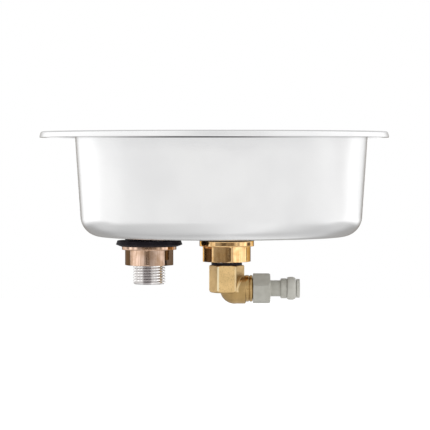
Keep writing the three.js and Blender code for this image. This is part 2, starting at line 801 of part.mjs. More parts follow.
// Cap with a middle jet and a ring of jets, pressed into the hub.
function sprayCap() {
  const low = armTop - capPlug;
  const high = armTop + capRim;
  let cap = turned([
    [0, low], [hubChamberRadius - runningGap, low], [hubChamberRadius - runningGap, armTop],
    [capRadius, armTop], [capRadius, armTop + capRim / 2], [capRadius - capRim, high], [0, high],
  ]);
  const ringJets = 6;
  const ringShare = 0.38;
  cap = cap.subtract(jet(0, 0, low - overrun, high + overrun));
  for (let i = 0; i < ringJets; i += 1) {
    const angle = (2 * Math.PI * (i + 1 / 2)) / ringJets;
    cap = cap.subtract(jet(capRadius * ringShare, angle, low - overrun, high + overrun));
  }
  return mesh('spray_cap', cap, plated());
}

// Revolves a profile about the branch, which runs along +X from the socket's axis.
function branchTurned(profile, level) {
  const points = profile.map(([radius, along]) => new THREE.Vector2(radius, along));
  const lathe = new THREE.LatheGeometry(points, turnedSteps);
  return solidOf(lathe.rotateZ(-Math.PI / 2).translate(0, 0, level));
}

// Cast elbow: hexagonal socket, round bend, collar and the male end that the adapter screws onto.
function inletElbow() {
  const end = elbowTop - elbowSocket;
  const socket = turnedPrism(
    hexFlats, elbowAcrossFlats, elbowTurnedRadius, end, elbowTop, elbowChamfer, elbowChamfer / 2, 0,
  );
  const bend = new THREE.SphereGeometry(bendRadius, smallSteps, smallSteps / 2);
  bend.translate(bendForward, 0, branchLevel - bendBelowBranch);
  const stubEnd = collarEnd + stubLength;
  const barrel = branchTurned([
    [0, bendForward], [barrelRadius, bendForward], [barrelRadius, barrelLength - edgeBreak],
    [barrelRadius - edgeBreak, barrelLength], [0, barrelLength],
  ], branchLevel - barrelBelowBranch);
  const branch = branchTurned([
    [0, bendForward], [barrelRadius / 2, bendForward], [collarRadius - edgeBreak, barrelLength - edgeBreak],
    [collarRadius, barrelLength], [collarRadius, collarEnd - edgeBreak],
    [collarRadius - edgeBreak, collarEnd], [quarterInchRadius, collarEnd],
    [quarterInchRadius, stubEnd - edgeBreak], [quarterInchRadius - edgeBreak, stubEnd], [0, stubEnd],
  ], branchLevel);
  const threadBore = rod(threeEighthRadius + runningGap, shankEnd - seatGap, elbowTop + overrun);
  const drop = rod(shankBoreRadius, end + elbowFloor, elbowTop);
  const through = branchTurned([
    [0, 0], [branchBoreRadius, 0], [branchBoreRadius, stubEnd + overrun], [0, stubEnd + overrun],
  ], branchLevel);
  const casting = socket.add(solidOf(bend)).add(barrel).add(branch);
  const body = casting.subtract(threadBore).subtract(drop).subtract(through);
  return mesh('inlet_elbow', body, brass());
}

// Places along the adapter, outward from the elbow's collar
const hexStart = seatGap;
const sealStart = stubLength + seatGap;
const threadEnd = sealStart + adapterSeal + seatGap;
const hexEnd = threadEnd + adapterFloor;
const neckEnd = hexEnd + neckLength;
const ringEnd = neckEnd + ringLength;
const spigotEnd = ringEnd + spigotLength;
const pocketStart = neckEnd + socketDepth;
const capStart = ringEnd + seatGap;
const capEnd = capStart + capShellLength;
const colletFlangeStart = capEnd + seatGap;
const colletEnd = colletFlangeStart + colletFlange;
const colletLipStart = pocketStart + 2 * oRingRadius + 2 * seatGap;

// Adapter body: female hexagon, neck and the barrel with the tube's socket.
function pushFitBody() {
  const turn = THREE.MathUtils.degToRad(adapterTurn);
  const acrossCorners = adapterAcrossFlats / Math.cos(Math.PI / hexFlats);
  const hex = turnedPrism(
    hexFlats, adapterAcrossFlats, acrossCorners / 2, hexStart, hexEnd, edgeBreak / 2, adapterHexChamfer, turn,
  );
  const neck = turned([
    [0, hexEnd - edgeBreak], [neckRadius, hexEnd - edgeBreak], [neckRadius, neckEnd],
    [ringRadius - edgeBreak, neckEnd], [ringRadius, neckEnd + edgeBreak], [ringRadius, ringEnd],
    [spigotRadius, ringEnd], [spigotRadius, spigotEnd], [0, spigotEnd],
  ]);
  const cuts = [
    rod(quarterInchRadius + seatGap, hexStart - overrun, threadEnd),
    rod(adapterBoreRadius, hexStart, spigotEnd, smallSteps),
    rod(socketRadius, hexEnd + neckLength / 2, spigotEnd, smallSteps),
    rod(sealPocketRadius, pocketStart, spigotEnd + overrun),
  ];
  let body = hex.add(neck);
  for (const cut of cuts) body = body.subtract(cut);
  return mesh('push_fit_body', body, acetal());
}

function adapterSealRing() {
  const high = sealStart + adapterSeal;
  const seal = ring(adapterSealBoreRadius, quarterInchRadius, sealStart, high, 0);
  return mesh('adapter_seal', seal, rubber());
}

function tubeORing() {
  const level = pocketStart + seatGap + oRingRadius;
  return mesh('tube_o_ring', oRing(socketRadius, level), rubber());
}

// Cap welded over the barrel's spigot. Its tapered inside closes the collet on the tube.
function pushFitCap() {
  const bulge = capShellLength / 4;
  const sleeve = spigotRadius + runningGap;
  const taper = colletLipRadius + runningGap;
  const mouthStart = colletLipStart + colletLip + edgeBreak + colletTravel + seatGap;
  const sleeveEnd = spigotEnd + seatGap;
  const cap = turned([
    [ringRadius, capStart], [capShellRadius, capStart + bulge], [capShellRadius, capEnd - bulge],
    [ringRadius, capEnd], [capMouthRadius, capEnd], [capMouthRadius, mouthStart],
    [taper, mouthStart - edgeBreak / 2], [sealPocketRadius, sleeveEnd],
    [sleeve, sleeveEnd], [sleeve, capStart],
  ]);
  return mesh('push_fit_cap', cap, acetal());
}

// Collet: slotted fingers round the tube and a flange that a fingertip presses.
function pushFitCollet() {
  const lipEnd = colletLipStart + colletLip;
  const sleeve = turned([
    [colletBoreRadius, colletLipStart], [colletLipRadius, colletLipStart], [colletLipRadius, lipEnd],
    [colletStemRadius, lipEnd + edgeBreak], [colletStemRadius, colletFlangeStart],
    [colletFlangeRadius, colletFlangeStart], [colletFlangeRadius, colletEnd - edgeBreak],
    [colletFlangeRadius - edgeBreak, colletEnd], [colletBoreRadius, colletEnd],
  ]);
  const low = colletLipStart - overrun;
  const high = colletFlangeStart - edgeBreak;
  const reach = 2 * (colletLipRadius + overrun);
  const slot = new THREE.BoxGeometry(reach, colletSlot, high - low).translate(0, 0, (low + high) / 2);
  const crossSlot = slot.clone().rotateZ(Math.PI / 2);
  return mesh('push_fit_collet', sleeve.subtract(solidOf(slot)).subtract(solidOf(crossSlot)), acetal());
}

function surface(color, roughness, metalness) {
  return new THREE.MeshStandardMaterial({ color, roughness, metalness });
}

function steel() {
  return surface('#d9d9da', 0.3, 1);
}

function plated() {
  return surface('#c9c6c4', 0.22, 1);
}

function brass() {
  return surface('#c69c55', 0.38, 1);
}

function bronzedBrass() {
  return surface('#b58a68', 0.34, 1);
}

function springSteel() {
  return surface('#9c9ea1', 0.3, 1);
}

function rubber() {
  return surface('#26222a', 0.7, 0);
}

function acetal() {
  return surface('#a3a399', 0.5, 0);
}

function moulded() {
  return surface('#2d2f33', 0.45, 0);
}

const rinser = new THREE.Group();
rinser.add(bowl());

const waste = new THREE.Group();
waste.position.x = drainX;
waste.add(
  drainBody(),
  drainFlangeGasket(),
  drainOuterGasket(),
  backNut('drain_back_nut', drainNutTop, THREE.MathUtils.degToRad(-94), bronzedBrass()),
  drainStrainer(),
);
rinser.add(waste);

const valve = new THREE.Group();
valve.position.x = inletX;
valve.add(
  valveBody(),
  valveFlangeGasket(),
  inletOuterGasket(),
  backNut('inlet_back_nut', inletNutTop, THREE.MathUtils.degToRad(-81), brass()),
  shankWasherRing(),
  inletElbow(),
  valveBonnet(),
  bonnetGasket(),
  stemORing(),
  valvePlunger(),
  plungerSealRing(),
  returnSpring(),
  sprayStar(),
  sprayCap(),
  starORing(),
);
rinser.add(valve);

const adapter = new THREE.Group();
adapter.position.set(collarEnd, 0, branchLevel);
adapter.rotation.y = Math.PI / 2;
adapter.add(pushFitBody(), adapterSealRing(), tubeORing(), pushFitCap(), pushFitCollet());
valve.add(adapter);

export default rinser;
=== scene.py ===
import math

import bmesh
import bpy
import numpy as np
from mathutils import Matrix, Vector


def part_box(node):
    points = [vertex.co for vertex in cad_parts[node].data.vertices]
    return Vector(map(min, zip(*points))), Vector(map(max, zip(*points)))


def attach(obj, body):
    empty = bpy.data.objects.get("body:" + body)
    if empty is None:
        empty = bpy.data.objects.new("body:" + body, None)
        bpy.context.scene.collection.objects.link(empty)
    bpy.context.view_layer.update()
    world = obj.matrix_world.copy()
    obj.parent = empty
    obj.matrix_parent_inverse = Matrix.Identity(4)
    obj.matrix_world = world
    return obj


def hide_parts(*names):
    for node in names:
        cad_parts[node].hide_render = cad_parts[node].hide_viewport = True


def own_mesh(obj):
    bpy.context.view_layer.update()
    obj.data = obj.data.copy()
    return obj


# The looks of a drop-in glass rinser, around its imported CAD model. Metres, +Z up, in the model's own frame.
# The sections follow the assembly: bowl, waste, valve, elbow, spray head, water adapter, then the studio.
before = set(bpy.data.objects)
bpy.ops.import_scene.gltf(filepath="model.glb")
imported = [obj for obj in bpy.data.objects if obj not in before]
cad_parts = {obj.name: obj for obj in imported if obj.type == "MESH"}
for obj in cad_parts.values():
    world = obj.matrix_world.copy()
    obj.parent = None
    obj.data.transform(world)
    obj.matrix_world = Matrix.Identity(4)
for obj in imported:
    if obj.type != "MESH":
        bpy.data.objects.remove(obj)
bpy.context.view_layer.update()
mm = 0.001


# Bowl: one pressing in stainless sheet with a satin skin. The rim is turned down into a lip that stands on
# the counter, and the floor has a shallow recess for the waste and a plain hole for the spray valve.
bowl_low, bowl_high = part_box("bowl")
sheet = 1 * mm
recess_depth = 1.4 * mm
recess_radius = 14.6 * mm
hole_radius = 10.98 * mm
bowl_centre = 4.6 * mm
bowl_radius = 96.5 * mm
wall_lean = 4.55 * mm
mouth_bend = 2.4 * mm
floor_bend = 13.5 * mm
lip_bend = 1.6 * mm
lip_flare = 0.9 * mm
lip_edge_bend = 0.45 * mm
rim_radius = bowl_high.x
rim_top = bowl_high.z
recess_under = bowl_low.z
floor_under = recess_under + recess_depth
floor_top = floor_under + sheet
drain_low, drain_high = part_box("drain_body")
drain_x = (drain_low.x + drain_high.x) / 2
body_low, body_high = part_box("valve_body")
inlet_x = (body_low.x + body_high.x) / 2


class Socket:
    """A socket of a node tree. Sums, differences and products of sockets and numbers add their Math nodes."""

    def __init__(self, tree, socket=None):
        self.tree = tree
        self.socket = socket

    def node(self, kind, settings, sockets, output=0):
        """Adds a node, sets its settings, then the values or links of its sockets, and gives one output."""
        node = self.tree.nodes.new("ShaderNode" + kind)
        for name, value in settings.items():
            if name == "stops":
                ramp = node.color_ramp.elements
                while len(ramp) < len(value):
                    ramp.new(1)
                for stop, (position, level) in zip(ramp, value):
                    stop.position = position
                    stop.color = (level, level, level, 1)
            else:
                setattr(node, name, value)
        for name, value in sockets.items():
            if isinstance(value, Socket):
                self.tree.links.new(value.socket, node.inputs[name])
            else:
                node.inputs[name].default_value = value
        return Socket(self.tree, node.outputs[output] if node.outputs else None)

    def math(self, operation, *values):
        return self.node("Math", {"operation": operation}, dict(enumerate(values)))

    def __add__(self, other):
        return self.math("ADD", self, other)

    def __sub__(self, other):
        return self.math("SUBTRACT", self, other)

    def __rsub__(self, other):
        return self.math("SUBTRACT", other, self)

    def __mul__(self, other):
        return self.math("MULTIPLY", self, other)

    def __truediv__(self, other):
        return self.math("DIVIDE", self, other)

    __radd__ = __add__
    __rmul__ = __mul__

    def parts(self):
        """The X, Y and Z of a place."""
        return [self.node("SeparateXYZ", {}, {"Vector": self}, axis) for axis in "XYZ"]

    def step(self, low, high, start=0, end=1):
        """Rises smoothly from start to end as the value goes from low to high."""
        settings = {"interpolation_type": "SMOOTHSTEP"}
        ends = {"From Min": low, "From Max": high, "To Min": start, "To Max": end}
        return self.node("MapRange", settings, {"Value": self, **ends})

    def blend(self, first, second):
        """Goes from the first colour to the second as the value goes from 0 to 1."""
        return self.node("Mix", {"data_type": "RGBA"}, {0: self, 6: first, 7: second}, 2)

    def noise(self, scale, detail=2, roughness=0.5):
        """Cloudy values about 0.5 over a place, with the scale in clouds to the metre."""
        sockets = {"Vector": self, "Scale": scale, "Detail": detail, "Roughness": roughness}
        return self.node("TexNoise", {}, sockets, "Fac")

    def stretched(self, x, y, z):
        """The place with its three directions scaled, so that a pattern on it is drawn out."""
        return self.node("Mapping", {}, {"Vector": self, "Scale": (x, y, z)})

    def outward(self, centre):
        """How far a place lies from the upright axis through the centre."""
        x, y, _ = self.parts()
        return self.math("SQRT", (x - centre) * (x - centre) + y * y)

    def rings(self, centre, scale):
        """Fine lines that follow the lathe: noise along the distance from an axis, plus the height."""
        along = self.outward(centre) + self.parts()[2]
        settings = {"noise_dimensions": "1D"}
        return self.node("TexNoise", settings, {"W": along, "Scale": scale, "Detail": 3}, "Fac")

    def bump(self, depth):
        """The surface's normal with the value as relief of a depth in metres."""
        return self.node("Bump", {}, {"Height": self, "Distance": depth, "Strength": 1.0})


def finish(name, draw):
    """A material whose shader sockets are what draw gives for the piece's Object coordinates."""
    material = bpy.data.materials.new(name)
    material.use_nodes = True
    material.node_tree.nodes.clear()
    place = Socket(material.node_tree).node("TexCoord", {}, {}, "Object")
    shader = place.node("BsdfPrincipled", {}, draw(place))
    place.node("OutputMaterial", {}, {"Surface": shader})
    return material


def arc(centre, radius, start, end, steps=12):
    """Points of a circle's arc in the profile plane: the centre plus the radius times (cosine, sine)."""
    angle = np.linspace(start, end, steps + 1)
    return np.column_stack([centre[0] + radius * np.cos(angle), centre[1] + radius * np.sin(angle)])


def turned(profile, centre=0.0, columns=192, shape=None):
    """A profile of radius and height carried round an upright axis: x = centre + r cos a, y = r sin a, z = h.
    A shape changes the radius by the angle and the height, as a hexagon or a thread does."""
    angle = np.linspace(0, 2 * np.pi, columns, endpoint=False)[None, :]
    radius, height = profile[:, :1], profile[:, 1:2]
    radius = np.broadcast_to(radius, (len(profile), columns))
    height = np.broadcast_to(height, radius.shape)
    if shape is not None:
        radius = shape(angle, radius, height)
    return np.stack([centre + radius * np.cos(angle), radius * np.sin(angle), height], axis=-1)


def add_mesh(name, grids):
    """One closed mesh of grids of points. A grid's columns close on themselves, shared borders are merged."""
    faces = []
    first = 0
    for grid, round_rows in grids:
        rows, columns = grid.shape[:2]
        row = np.arange(rows if round_rows else rows - 1)[:, None]
        column = np.arange(columns)[None, :]
        here, above = row * columns, (row + 1) % rows * columns
        side = (column + 1) % columns
        corners = [here + column, here + side, above + side, above + column]
        faces.append(first + np.stack(corners, axis=-1).reshape(-1, 4))
        first += rows * columns
    points = np.concatenate([grid.reshape(-1, 3) for grid, _ in grids])
    mesh = bpy.data.meshes.new(name)
    mesh.from_pydata(points.tolist(), [], np.concatenate(faces).tolist())
    work = bmesh.new()
    work.from_mesh(mesh)
    bmesh.ops.remove_doubles(work, verts=work.verts, dist=1e-4 * mm)
    bmesh.ops.recalc_face_normals(work, faces=work.faces)
    work.to_mesh(mesh)
    work.free()
    piece = bpy.data.objects.new(name, mesh)
    bpy.context.scene.collection.objects.link(piece)
    return piece


def lathe(name, outline, centre, columns=192, shape=None):
    """A mesh turned about an upright axis. An outline that starts on the axis makes a solid piece, and any
    other outline closes on itself."""
    return add_mesh(name, [(turned(outline, centre, columns, shape), outline[0, 0] > 0)])


def fit(piece, material, node, body="bowl_and_fittings", crisp=32):
    """Shades a piece, keeps edges crisp past an angle in degrees, and puts it in its CAD node's place."""
    piece.data.shade_smooth()
    piece.data.set_sharp_from_angle(angle=math.radians(crisp))
    piece.data.materials.clear()
    piece.data.materials.append(material)
    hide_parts(node)
    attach(piece, body)


def bowl_rows():
    """The pressing's rows from the floor's edge underneath, up the wall, over the rim and back down inside.
    Every row is a circle: its radius, its height and its centre, because the bowl sits off the rim's centre.
    The lip's outer face is the line that touches both the rim's bend and the small bend of its foot."""
    height = rim_top - floor_under - sheet
    lean = math.atan(wall_lean / height)
    flare = math.atan(lip_flare / rim_top)
    wall = lambda level: bowl_radius - wall_lean + wall_lean * (level - floor_under) / height
    bend_level = floor_under + floor_bend
    bend = (wall(bend_level) - floor_bend / math.cos(lean), bend_level)
    mouth_level = rim_top - sheet - mouth_bend
    mouth = (wall(mouth_level) + mouth_bend / math.cos(lean), mouth_level)
    lip_level = rim_top - lip_bend
    lip = (rim_radius - lip_level * math.tan(flare) - lip_bend / math.cos(flare), lip_level)
    down, up, inward = -np.pi / 2, np.pi / 2, np.pi - lean
    inner_edge = [rim_radius - sheet / math.cos(flare), 0]
    foot = (rim_radius - lip_edge_bend, lip_edge_bend)
    away, fall = foot[0] - lip[0], foot[1] - lip[1]
    outer_flare = math.acos((lip_bend - lip_edge_bend) / math.hypot(away, fall)) + math.atan2(fall, away)
    parts = [
        (arc(bend, floor_bend, down, -lean, 20), bowl_centre),
        (arc(mouth, mouth_bend, inward, up), bowl_centre),
        (arc(lip, lip_bend - sheet, up, flare), 0),
        (np.array([inner_edge]), 0),
        (arc(foot, lip_edge_bend, down, 0), 0),
        (arc(foot, lip_edge_bend, 0, outer_flare, 6)[1:], 0),
        (arc(lip, lip_bend, outer_flare, up, 16), 0),
        (arc(mouth, mouth_bend + sheet, up, inward), bowl_centre),
        (arc(bend, floor_bend - sheet, -lean, down, 20), bowl_centre),
    ]
    profile = np.concatenate([part for part, _ in parts])
    centres = np.concatenate([np.full((len(part), 1), centre) for part, centre in parts])
    return profile, centres


def bowl_grids():
    """The wall and rim are rows of circles. The floor is two webs, each from a hole's rim to the floor's edge
    and to a straight line between the holes, where the two webs share their points."""
    columns = 256
    profile, centres = bowl_rows()
    wall = turned(profile, centres, columns)
    turn_column = 74
    edge = wall[0, :, :2]
    divide = edge[turn_column]
    line_steps = 40
    line_y = np.linspace(divide[1], -divide[1], line_steps + 1)[1:-1]
    line = np.column_stack([np.full(len(line_y), divide[0]), line_y])
    left_edge = np.concatenate([edge[turn_column:columns - turn_column + 1], line[::-1]])
    right_edge = np.concatenate([edge[columns - turn_column:], edge[:turn_column + 1], line])

    def web(border, hole_x, rows, level):
        """Rows of circles about the hole, then rows that go evenly from the last circle out to the border."""
        away = border - [hole_x, 0]
        direction = away / np.linalg.norm(away, axis=1, keepdims=True)
        circles = [
            np.column_stack([[hole_x, 0] + radius * direction, np.full(len(border), z)]) for radius, z in rows
        ]
        rim = circles[-1]
        outer = np.column_stack([border, np.full(len(border), level)])
        shares = np.linspace(0, 1, 9)[1:, None, None]
        return np.concatenate([np.stack(circles), rim + shares * (outer - rim)])

    recess_top = floor_top - recess_depth
    bend = 0.7 * mm
    outside = recess_radius + sheet
    under = np.concatenate([
        [[hole_radius, recess_under]],
        arc((outside - bend, recess_under + bend), bend, -np.pi / 2, 0, 5)[:-1],
        [[outside, floor_under], [outside + bend, floor_under]],
    ])
    inside = recess_radius
    over = np.concatenate([
        [[hole_radius, recess_top], [inside - bend / 2, recess_top]],
        arc((inside + bend, floor_top - bend), bend, np.pi, np.pi / 2, 5),
    ])
    plain = [[hole_radius, 0], [hole_radius + bend, 0]]
    grids = [(wall, False)]
    for border, hole_x, low_rows, high_rows in [
        (left_edge, drain_x, under, over),
        (right_edge, inlet_x, np.add(plain, [0, floor_under]), np.add(plain, [0, floor_top])),
    ]:
        low_web = web(border, hole_x, low_rows, floor_under)
        high_web = web(border, hole_x, high_rows, floor_top)
        grids += [(low_web, False), (high_web, False), (np.stack([low_web[0], high_web[0]]), False)]
    return grids


def between(value, low, high, soft):
    """Is 1 between two limits and 0 outside them, with soft edges."""
    return value.step(low - soft, low + soft) - value.step(high - soft, high + soft)


def satin_steel(place):
    """Steel sheet: faint lines of the press round the wall, a fine grain, and slow clouds of rubbing. Just
    under the rim lies a thin dark line of painted shade over a soft band of painted shade, most in front."""
    shade_line_half, shade_line_start, shade_line_end = 0.6 * mm, bowl_radius - 0.5 * mm, bowl_radius + 4 * mm
    front_x, full_width, end_width, front_depth = -7 * mm, 10 * mm, 75 * mm, 20 * mm
    rim_shade_low, rim_shade_full = -11 * mm, -2 * mm
    lines = place.rings(bowl_centre, 900)
    grain = place.stretched(1, 1, 4).noise(2600, 3)
    clouds = place.noise(22, 3)
    x, y, z = place.parts()
    # A thin dark line of painted shade on the outside of the wall, just under the rim.
    painted_shade_line = between(z, -shade_line_half, shade_line_half, 0.25 * mm)
    painted_shade_line = painted_shade_line * between(place.outward(bowl_centre), shade_line_start, shade_line_end, 0.1 * mm)
    front = place.math("ABSOLUTE", x - front_x).step(full_width, end_width, 1, 0.2)
    front = front * y.step(-front_depth, front_depth, 1, 0)
    # A soft band of painted shade on the wall below the rim, fading out toward the sides and the back.
    painted_rim_shade = z.step(rim_shade_low, rim_shade_full) * z.step(-mm, 0, 1, 0) * front
    rubbing_and_rim_shade = 0.8 * clouds.step(0.3, 0.7) + 0.9 * painted_rim_shade
    steel = rubbing_and_rim_shade.blend((0.84, 0.84, 0.84, 1), (0.78, 0.78, 0.785, 1))
    return {
        "Base Color": (painted_shade_line * front).blend(steel, (0.03, 0.03, 0.03, 1)),
        "Metallic": 1.0,
        "Roughness": 0.20 + 0.06 * grain + 0.05 * clouds,
        "Normal": (lines * 0.6 + grain * 0.4).bump(0.012 * mm),
    }


bowl = add_mesh("pressed_bowl", bowl_grids())
fit(bowl, finish("satin_steel", satin_steel), "bowl")


# Waste: a plated fitting whose flange lies in the recess on a thin seal. Its threaded tail hangs through the
# floor, and a stepped rubber seal and a flanged back nut hold it from below. The strainer lifts out of it.
half_inch_radius = 10.48 * mm
half_inch_pitch = 1.814 * mm
half_inch_depth = 1.16 * mm
thread_crest = 0.42
thread_slope = 0.52
running_gap = 0.15 * mm
tail_bore = 8 * mm
tail_chamfer = 0.9 * mm
tail_end = drain_low.z
drain_flange_top = drain_high.z
drain_flange_radius = (drain_high.x - drain_low.x) / 2
drain_flange_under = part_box("drain_flange_gasket")[1].z
strainer_low, strainer_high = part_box("drain_strainer")
strainer_radius = (strainer_high.x - strainer_low.x) / 2
strainer_gap = 0.3 * mm


def soften(corners, steps=4):
    """A closed outline of (radius, height, bend) corners, where each corner becomes an arc of a parabola that
    starts and ends at its bend's length along the two sides, or nearly halfway along a short side."""
    corners = np.array(corners, float)
    place, bend = corners[:, :2], corners[:, 2:]
    back, on = np.roll(place, 1, 0) - place, np.roll(place, -1, 0) - place
    back_length = np.linalg.norm(back, axis=1, keepdims=True)
    on_length = np.linalg.norm(on, axis=1, keepdims=True)
    start = place + back * np.minimum(bend / back_length, 0.48)
    end = place + on * np.minimum(bend / on_length, 0.48)
    share = np.linspace(0, 1, steps + 1)[:, None]
    arcs = [(1 - share) ** 2 * a + 2 * share * (1 - share) * p + share ** 2 * b
            for a, p, b in zip(start, place, end)]
    return np.concatenate(arcs)


def divided(profile, spacing):
    """The same closed outline with extra points, so that no side is longer than the spacing."""
    on = np.roll(profile, -1, 0) - profile
    counts = np.maximum(1, np.ceil(np.linalg.norm(on, axis=1) / spacing)).astype(int)
    which = np.repeat(np.arange(len(profile)), counts)
    before = np.repeat(np.cumsum(counts) - counts, counts)
    share = (np.arange(counts.sum()) - before) / np.repeat(counts, counts)
    return profile[which] + share[:, None] * on[which]


def threaded(outer, pitch, depth, low, high):
    """A shape that cuts a right-hand thread between two levels. The groove's depth follows the height less
    the climb: nothing along the crest, then an even slope with eased ends to the narrow root."""
    def shape(angle, radius, height):
        phase = height / pitch - angle / (2 * np.pi)
        slope = np.clip((np.abs((phase % 1) * 2 - 1) - thread_crest) / thread_slope, 0, 1)
        groove = outer - depth * slope ** 2 * (3 - 2 * slope)
        cut = (height > low) & (height < high) & (radius > outer - 1.1 * depth)
        return np.where(cut, np.minimum(radius, groove), radius)
    return shape


def bright_plate(place):
    """Nickel plate: clear reflections, slightly warm, with small rubbed patches and fine wipe marks."""
    patches = place.noise(300, 4)
    marks = place.stretched(1, 1, 0.3).noise(1800, 2)
    return {
        "Base Color": patches.step(0.35, 0.7).blend((0.80, 0.78, 0.77, 1), (0.70, 0.67, 0.66, 1)),
        "Metallic": 1.0,
        "Roughness": 0.13 + 0.12 * patches + 0.04 * marks,
        "Normal": marks.bump(0.006 * mm),
    }


plate = finish("bright_plate", bright_plate)
edge = 0.35 * mm
pocket = strainer_radius + strainer_gap
waste_outline = soften([
    (tail_bore, tail_end, edge), (half_inch_radius - tail_chamfer, tail_end, edge),
    (half_inch_radius, tail_end + tail_chamfer, edge), (half_inch_radius, drain_flange_under, edge),
    (drain_flange_radius, drain_flange_under, edge), (drain_flange_radius, drain_flange_top, edge),
    (pocket, drain_flange_top, edge), (pocket, strainer_low.z, 0), (tail_bore, strainer_low.z, edge),
])
drain_nut_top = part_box("drain_back_nut")[1].z
cut_thread = threaded(half_inch_radius, half_inch_pitch, half_inch_depth, tail_end - mm, drain_nut_top)
thread_rows = 0.07 * mm
inside_nut = 12 * mm
hidden_share = 5
fine_rows = divided(waste_outline, thread_rows)
hidden = (fine_rows[:, 0] < half_inch_radius - mm) | (fine_rows[:, 1] > drain_nut_top - inside_nut)
fine_rows = fine_rows[~hidden | (np.arange(len(fine_rows)) % hidden_share == 0)]
waste_body = lathe("waste_body", fine_rows, drain_x, 160, cut_thread)


def plated_thread(place):
    """Nickel plate, clear and a little warm. The thread's roots are darkened with painted shade, small
    patches are rubbed, and one upright stripe in front is darkened as a painted dark reflection."""
    root_full = half_inch_radius - 0.9 * half_inch_depth
    root_clear = half_inch_radius - 0.25 * half_inch_depth
    root_shade_full_level, root_shade_clear_level = strainer_low.z - 3 * mm, strainer_low.z - 2 * mm
    stripe_left, stripe_half, stripe_end = 1.1 * mm, 1.8 * mm, 3.4 * mm
    x, y, z = place.parts()
    outward = place.outward(drain_x)
    # Painted shade darkens the thread's roots on the tail below the strainer.
    painted_root_shade = outward.step(root_full, root_clear, 1, 0) * z.step(root_shade_full_level, root_shade_clear_level, 1, 0)
    painted_root_shade = painted_root_shade * outward.step(tail_bore + 0.4 * mm, tail_bore + 0.6 * mm)
    patches = place.noise(300, 4)
    # A painted dark reflection: an upright stripe on the near side of the tail is darkened.
    painted_dark_reflection = place.math("ABSOLUTE", x - drain_x + stripe_left).step(stripe_half, stripe_end, 1, 0)
    painted_dark_reflection = painted_dark_reflection * y.step(-mm, 0, 1, 0)
    bright = (0.5 * patches.step(0.35, 0.7)).blend((0.90, 0.88, 0.87, 1), (0.74, 0.71, 0.70, 1))
    with_dark_reflection = (painted_dark_reflection * 0.55).blend(bright, (0.17, 0.13, 0.14, 1))
    return {
        "Base Color": (painted_root_shade * 0.12).blend(with_dark_reflection, (0.10, 0.085, 0.08, 1)),
        "Metallic": 1.0,
        "Roughness": 0.10 + 0.10 * patches + 0.2 * painted_root_shade,
        "Normal": patches.bump(0.01 * mm),
    }


fit(waste_body, finish("plated_thread", plated_thread), "drain_body", crisp=80)


def black_rubber(place):
    """Moulded rubber: near black with a cool cast, a fine matt grain and faint dusty patches."""
    grain = place.noise(3500, 3)
    dust = place.noise(160, 3).step(0.52, 0.75)
    return {
        "Base Color": dust.blend((0.007, 0.005, 0.009, 1), (0.020, 0.017, 0.023, 1)),
        "Specular IOR Level": 0.2,
        "Roughness": 0.5 + 0.2 * grain,
        "Normal": grain.bump(0.02 * mm),
    }


rubber = finish("black_rubber", black_rubber)
flange_seal_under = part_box("drain_flange_gasket")[0].z
half_inch_clear = half_inch_radius + running_gap
seal_edge = 0.15 * mm


def washer_outline(inner, outer, low, high, bend=seal_edge):
    """A flat ring's outline with softened edges."""
    return soften([(inner, low, bend), (outer, low, bend), (outer, high, bend), (inner, high, bend)])


flange_seal = lathe("waste_flange_seal", washer_outline(
    half_inch_clear, drain_flange_radius, flange_seal_under, drain_flange_under), drain_x)
fit(flange_seal, rubber, "drain_flange_gasket")

gasket_low, gasket_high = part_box("drain_outer_gasket")
gasket_radius = (gasket_high.x - gasket_low.x) / 2
gasket_step = 1.4 * mm
gasket_step_radius = 15.9 * mm
gasket_rim = 2.7 * mm
gasket_top_radius = 21 * mm
nut_flange_radius = 18 * mm
gasket_cup = nut_flange_radius + running_gap
rim_start = gasket_high.z - gasket_step
rim_end = rim_start - gasket_rim
gasket_edge = 0.4 * mm
outer_gasket = lathe("waste_outer_gasket", soften([
    (half_inch_clear, drain_nut_top, 0), (gasket_cup, drain_nut_top, 0),
    (gasket_cup, gasket_low.z, seal_edge), (gasket_cup + gasket_edge, gasket_low.z, seal_edge),
    (gasket_radius, rim_end, gasket_edge), (gasket_top_radius, rim_start, gasket_edge),
    (gasket_step_radius, rim_start, gasket_edge), (gasket_step_radius, gasket_high.z, seal_edge),
    (half_inch_clear, gasket_high.z, 0),
]), drain_x, 224)
fit(outer_gasket, rubber, "drain_outer_gasket")


# Waste back nut: a flanged nut with eight flats, turned from brass bar and darkened to a pinkish bronze. Its
# corners are turned back to a round land, its flats are a little crowned, and it screws onto the tail.
nut_flats = 8
nut_across = 30.4 * mm
nut_corner_radius = 16 * mm
nut_flange = 3.6 * mm
nut_chamfer = 0.2 * mm
nut_crown = 0.2 * mm
nut_rounding = 0.3 * mm


def flatted(flats, across, turn, corner_radius, round_edge, crown=0.0):
    """A shape that holds the radius within a number of flats, up to the corner radius. The first flat faces
    the turn, and each falls back by the crown toward its corners. Where flat and round meet, the smaller
    radius is eased by a quarter of the squared overlap, so that the edge is rounded."""
    half = np.pi / flats

    def shape(angle, radius, height):
        off = (angle - turn + half) % (2 * half) - half
        flat = across / 2 / np.cos(off) - crown * (off / half) ** 2
        overlap = np.maximum(round_edge - np.abs(radius - flat), 0) / round_edge
        eased = np.minimum(radius, flat) - overlap ** 2 * round_edge / 4
        return np.where(radius <= corner_radius + 0.001 * mm, eased, radius)
    return shape


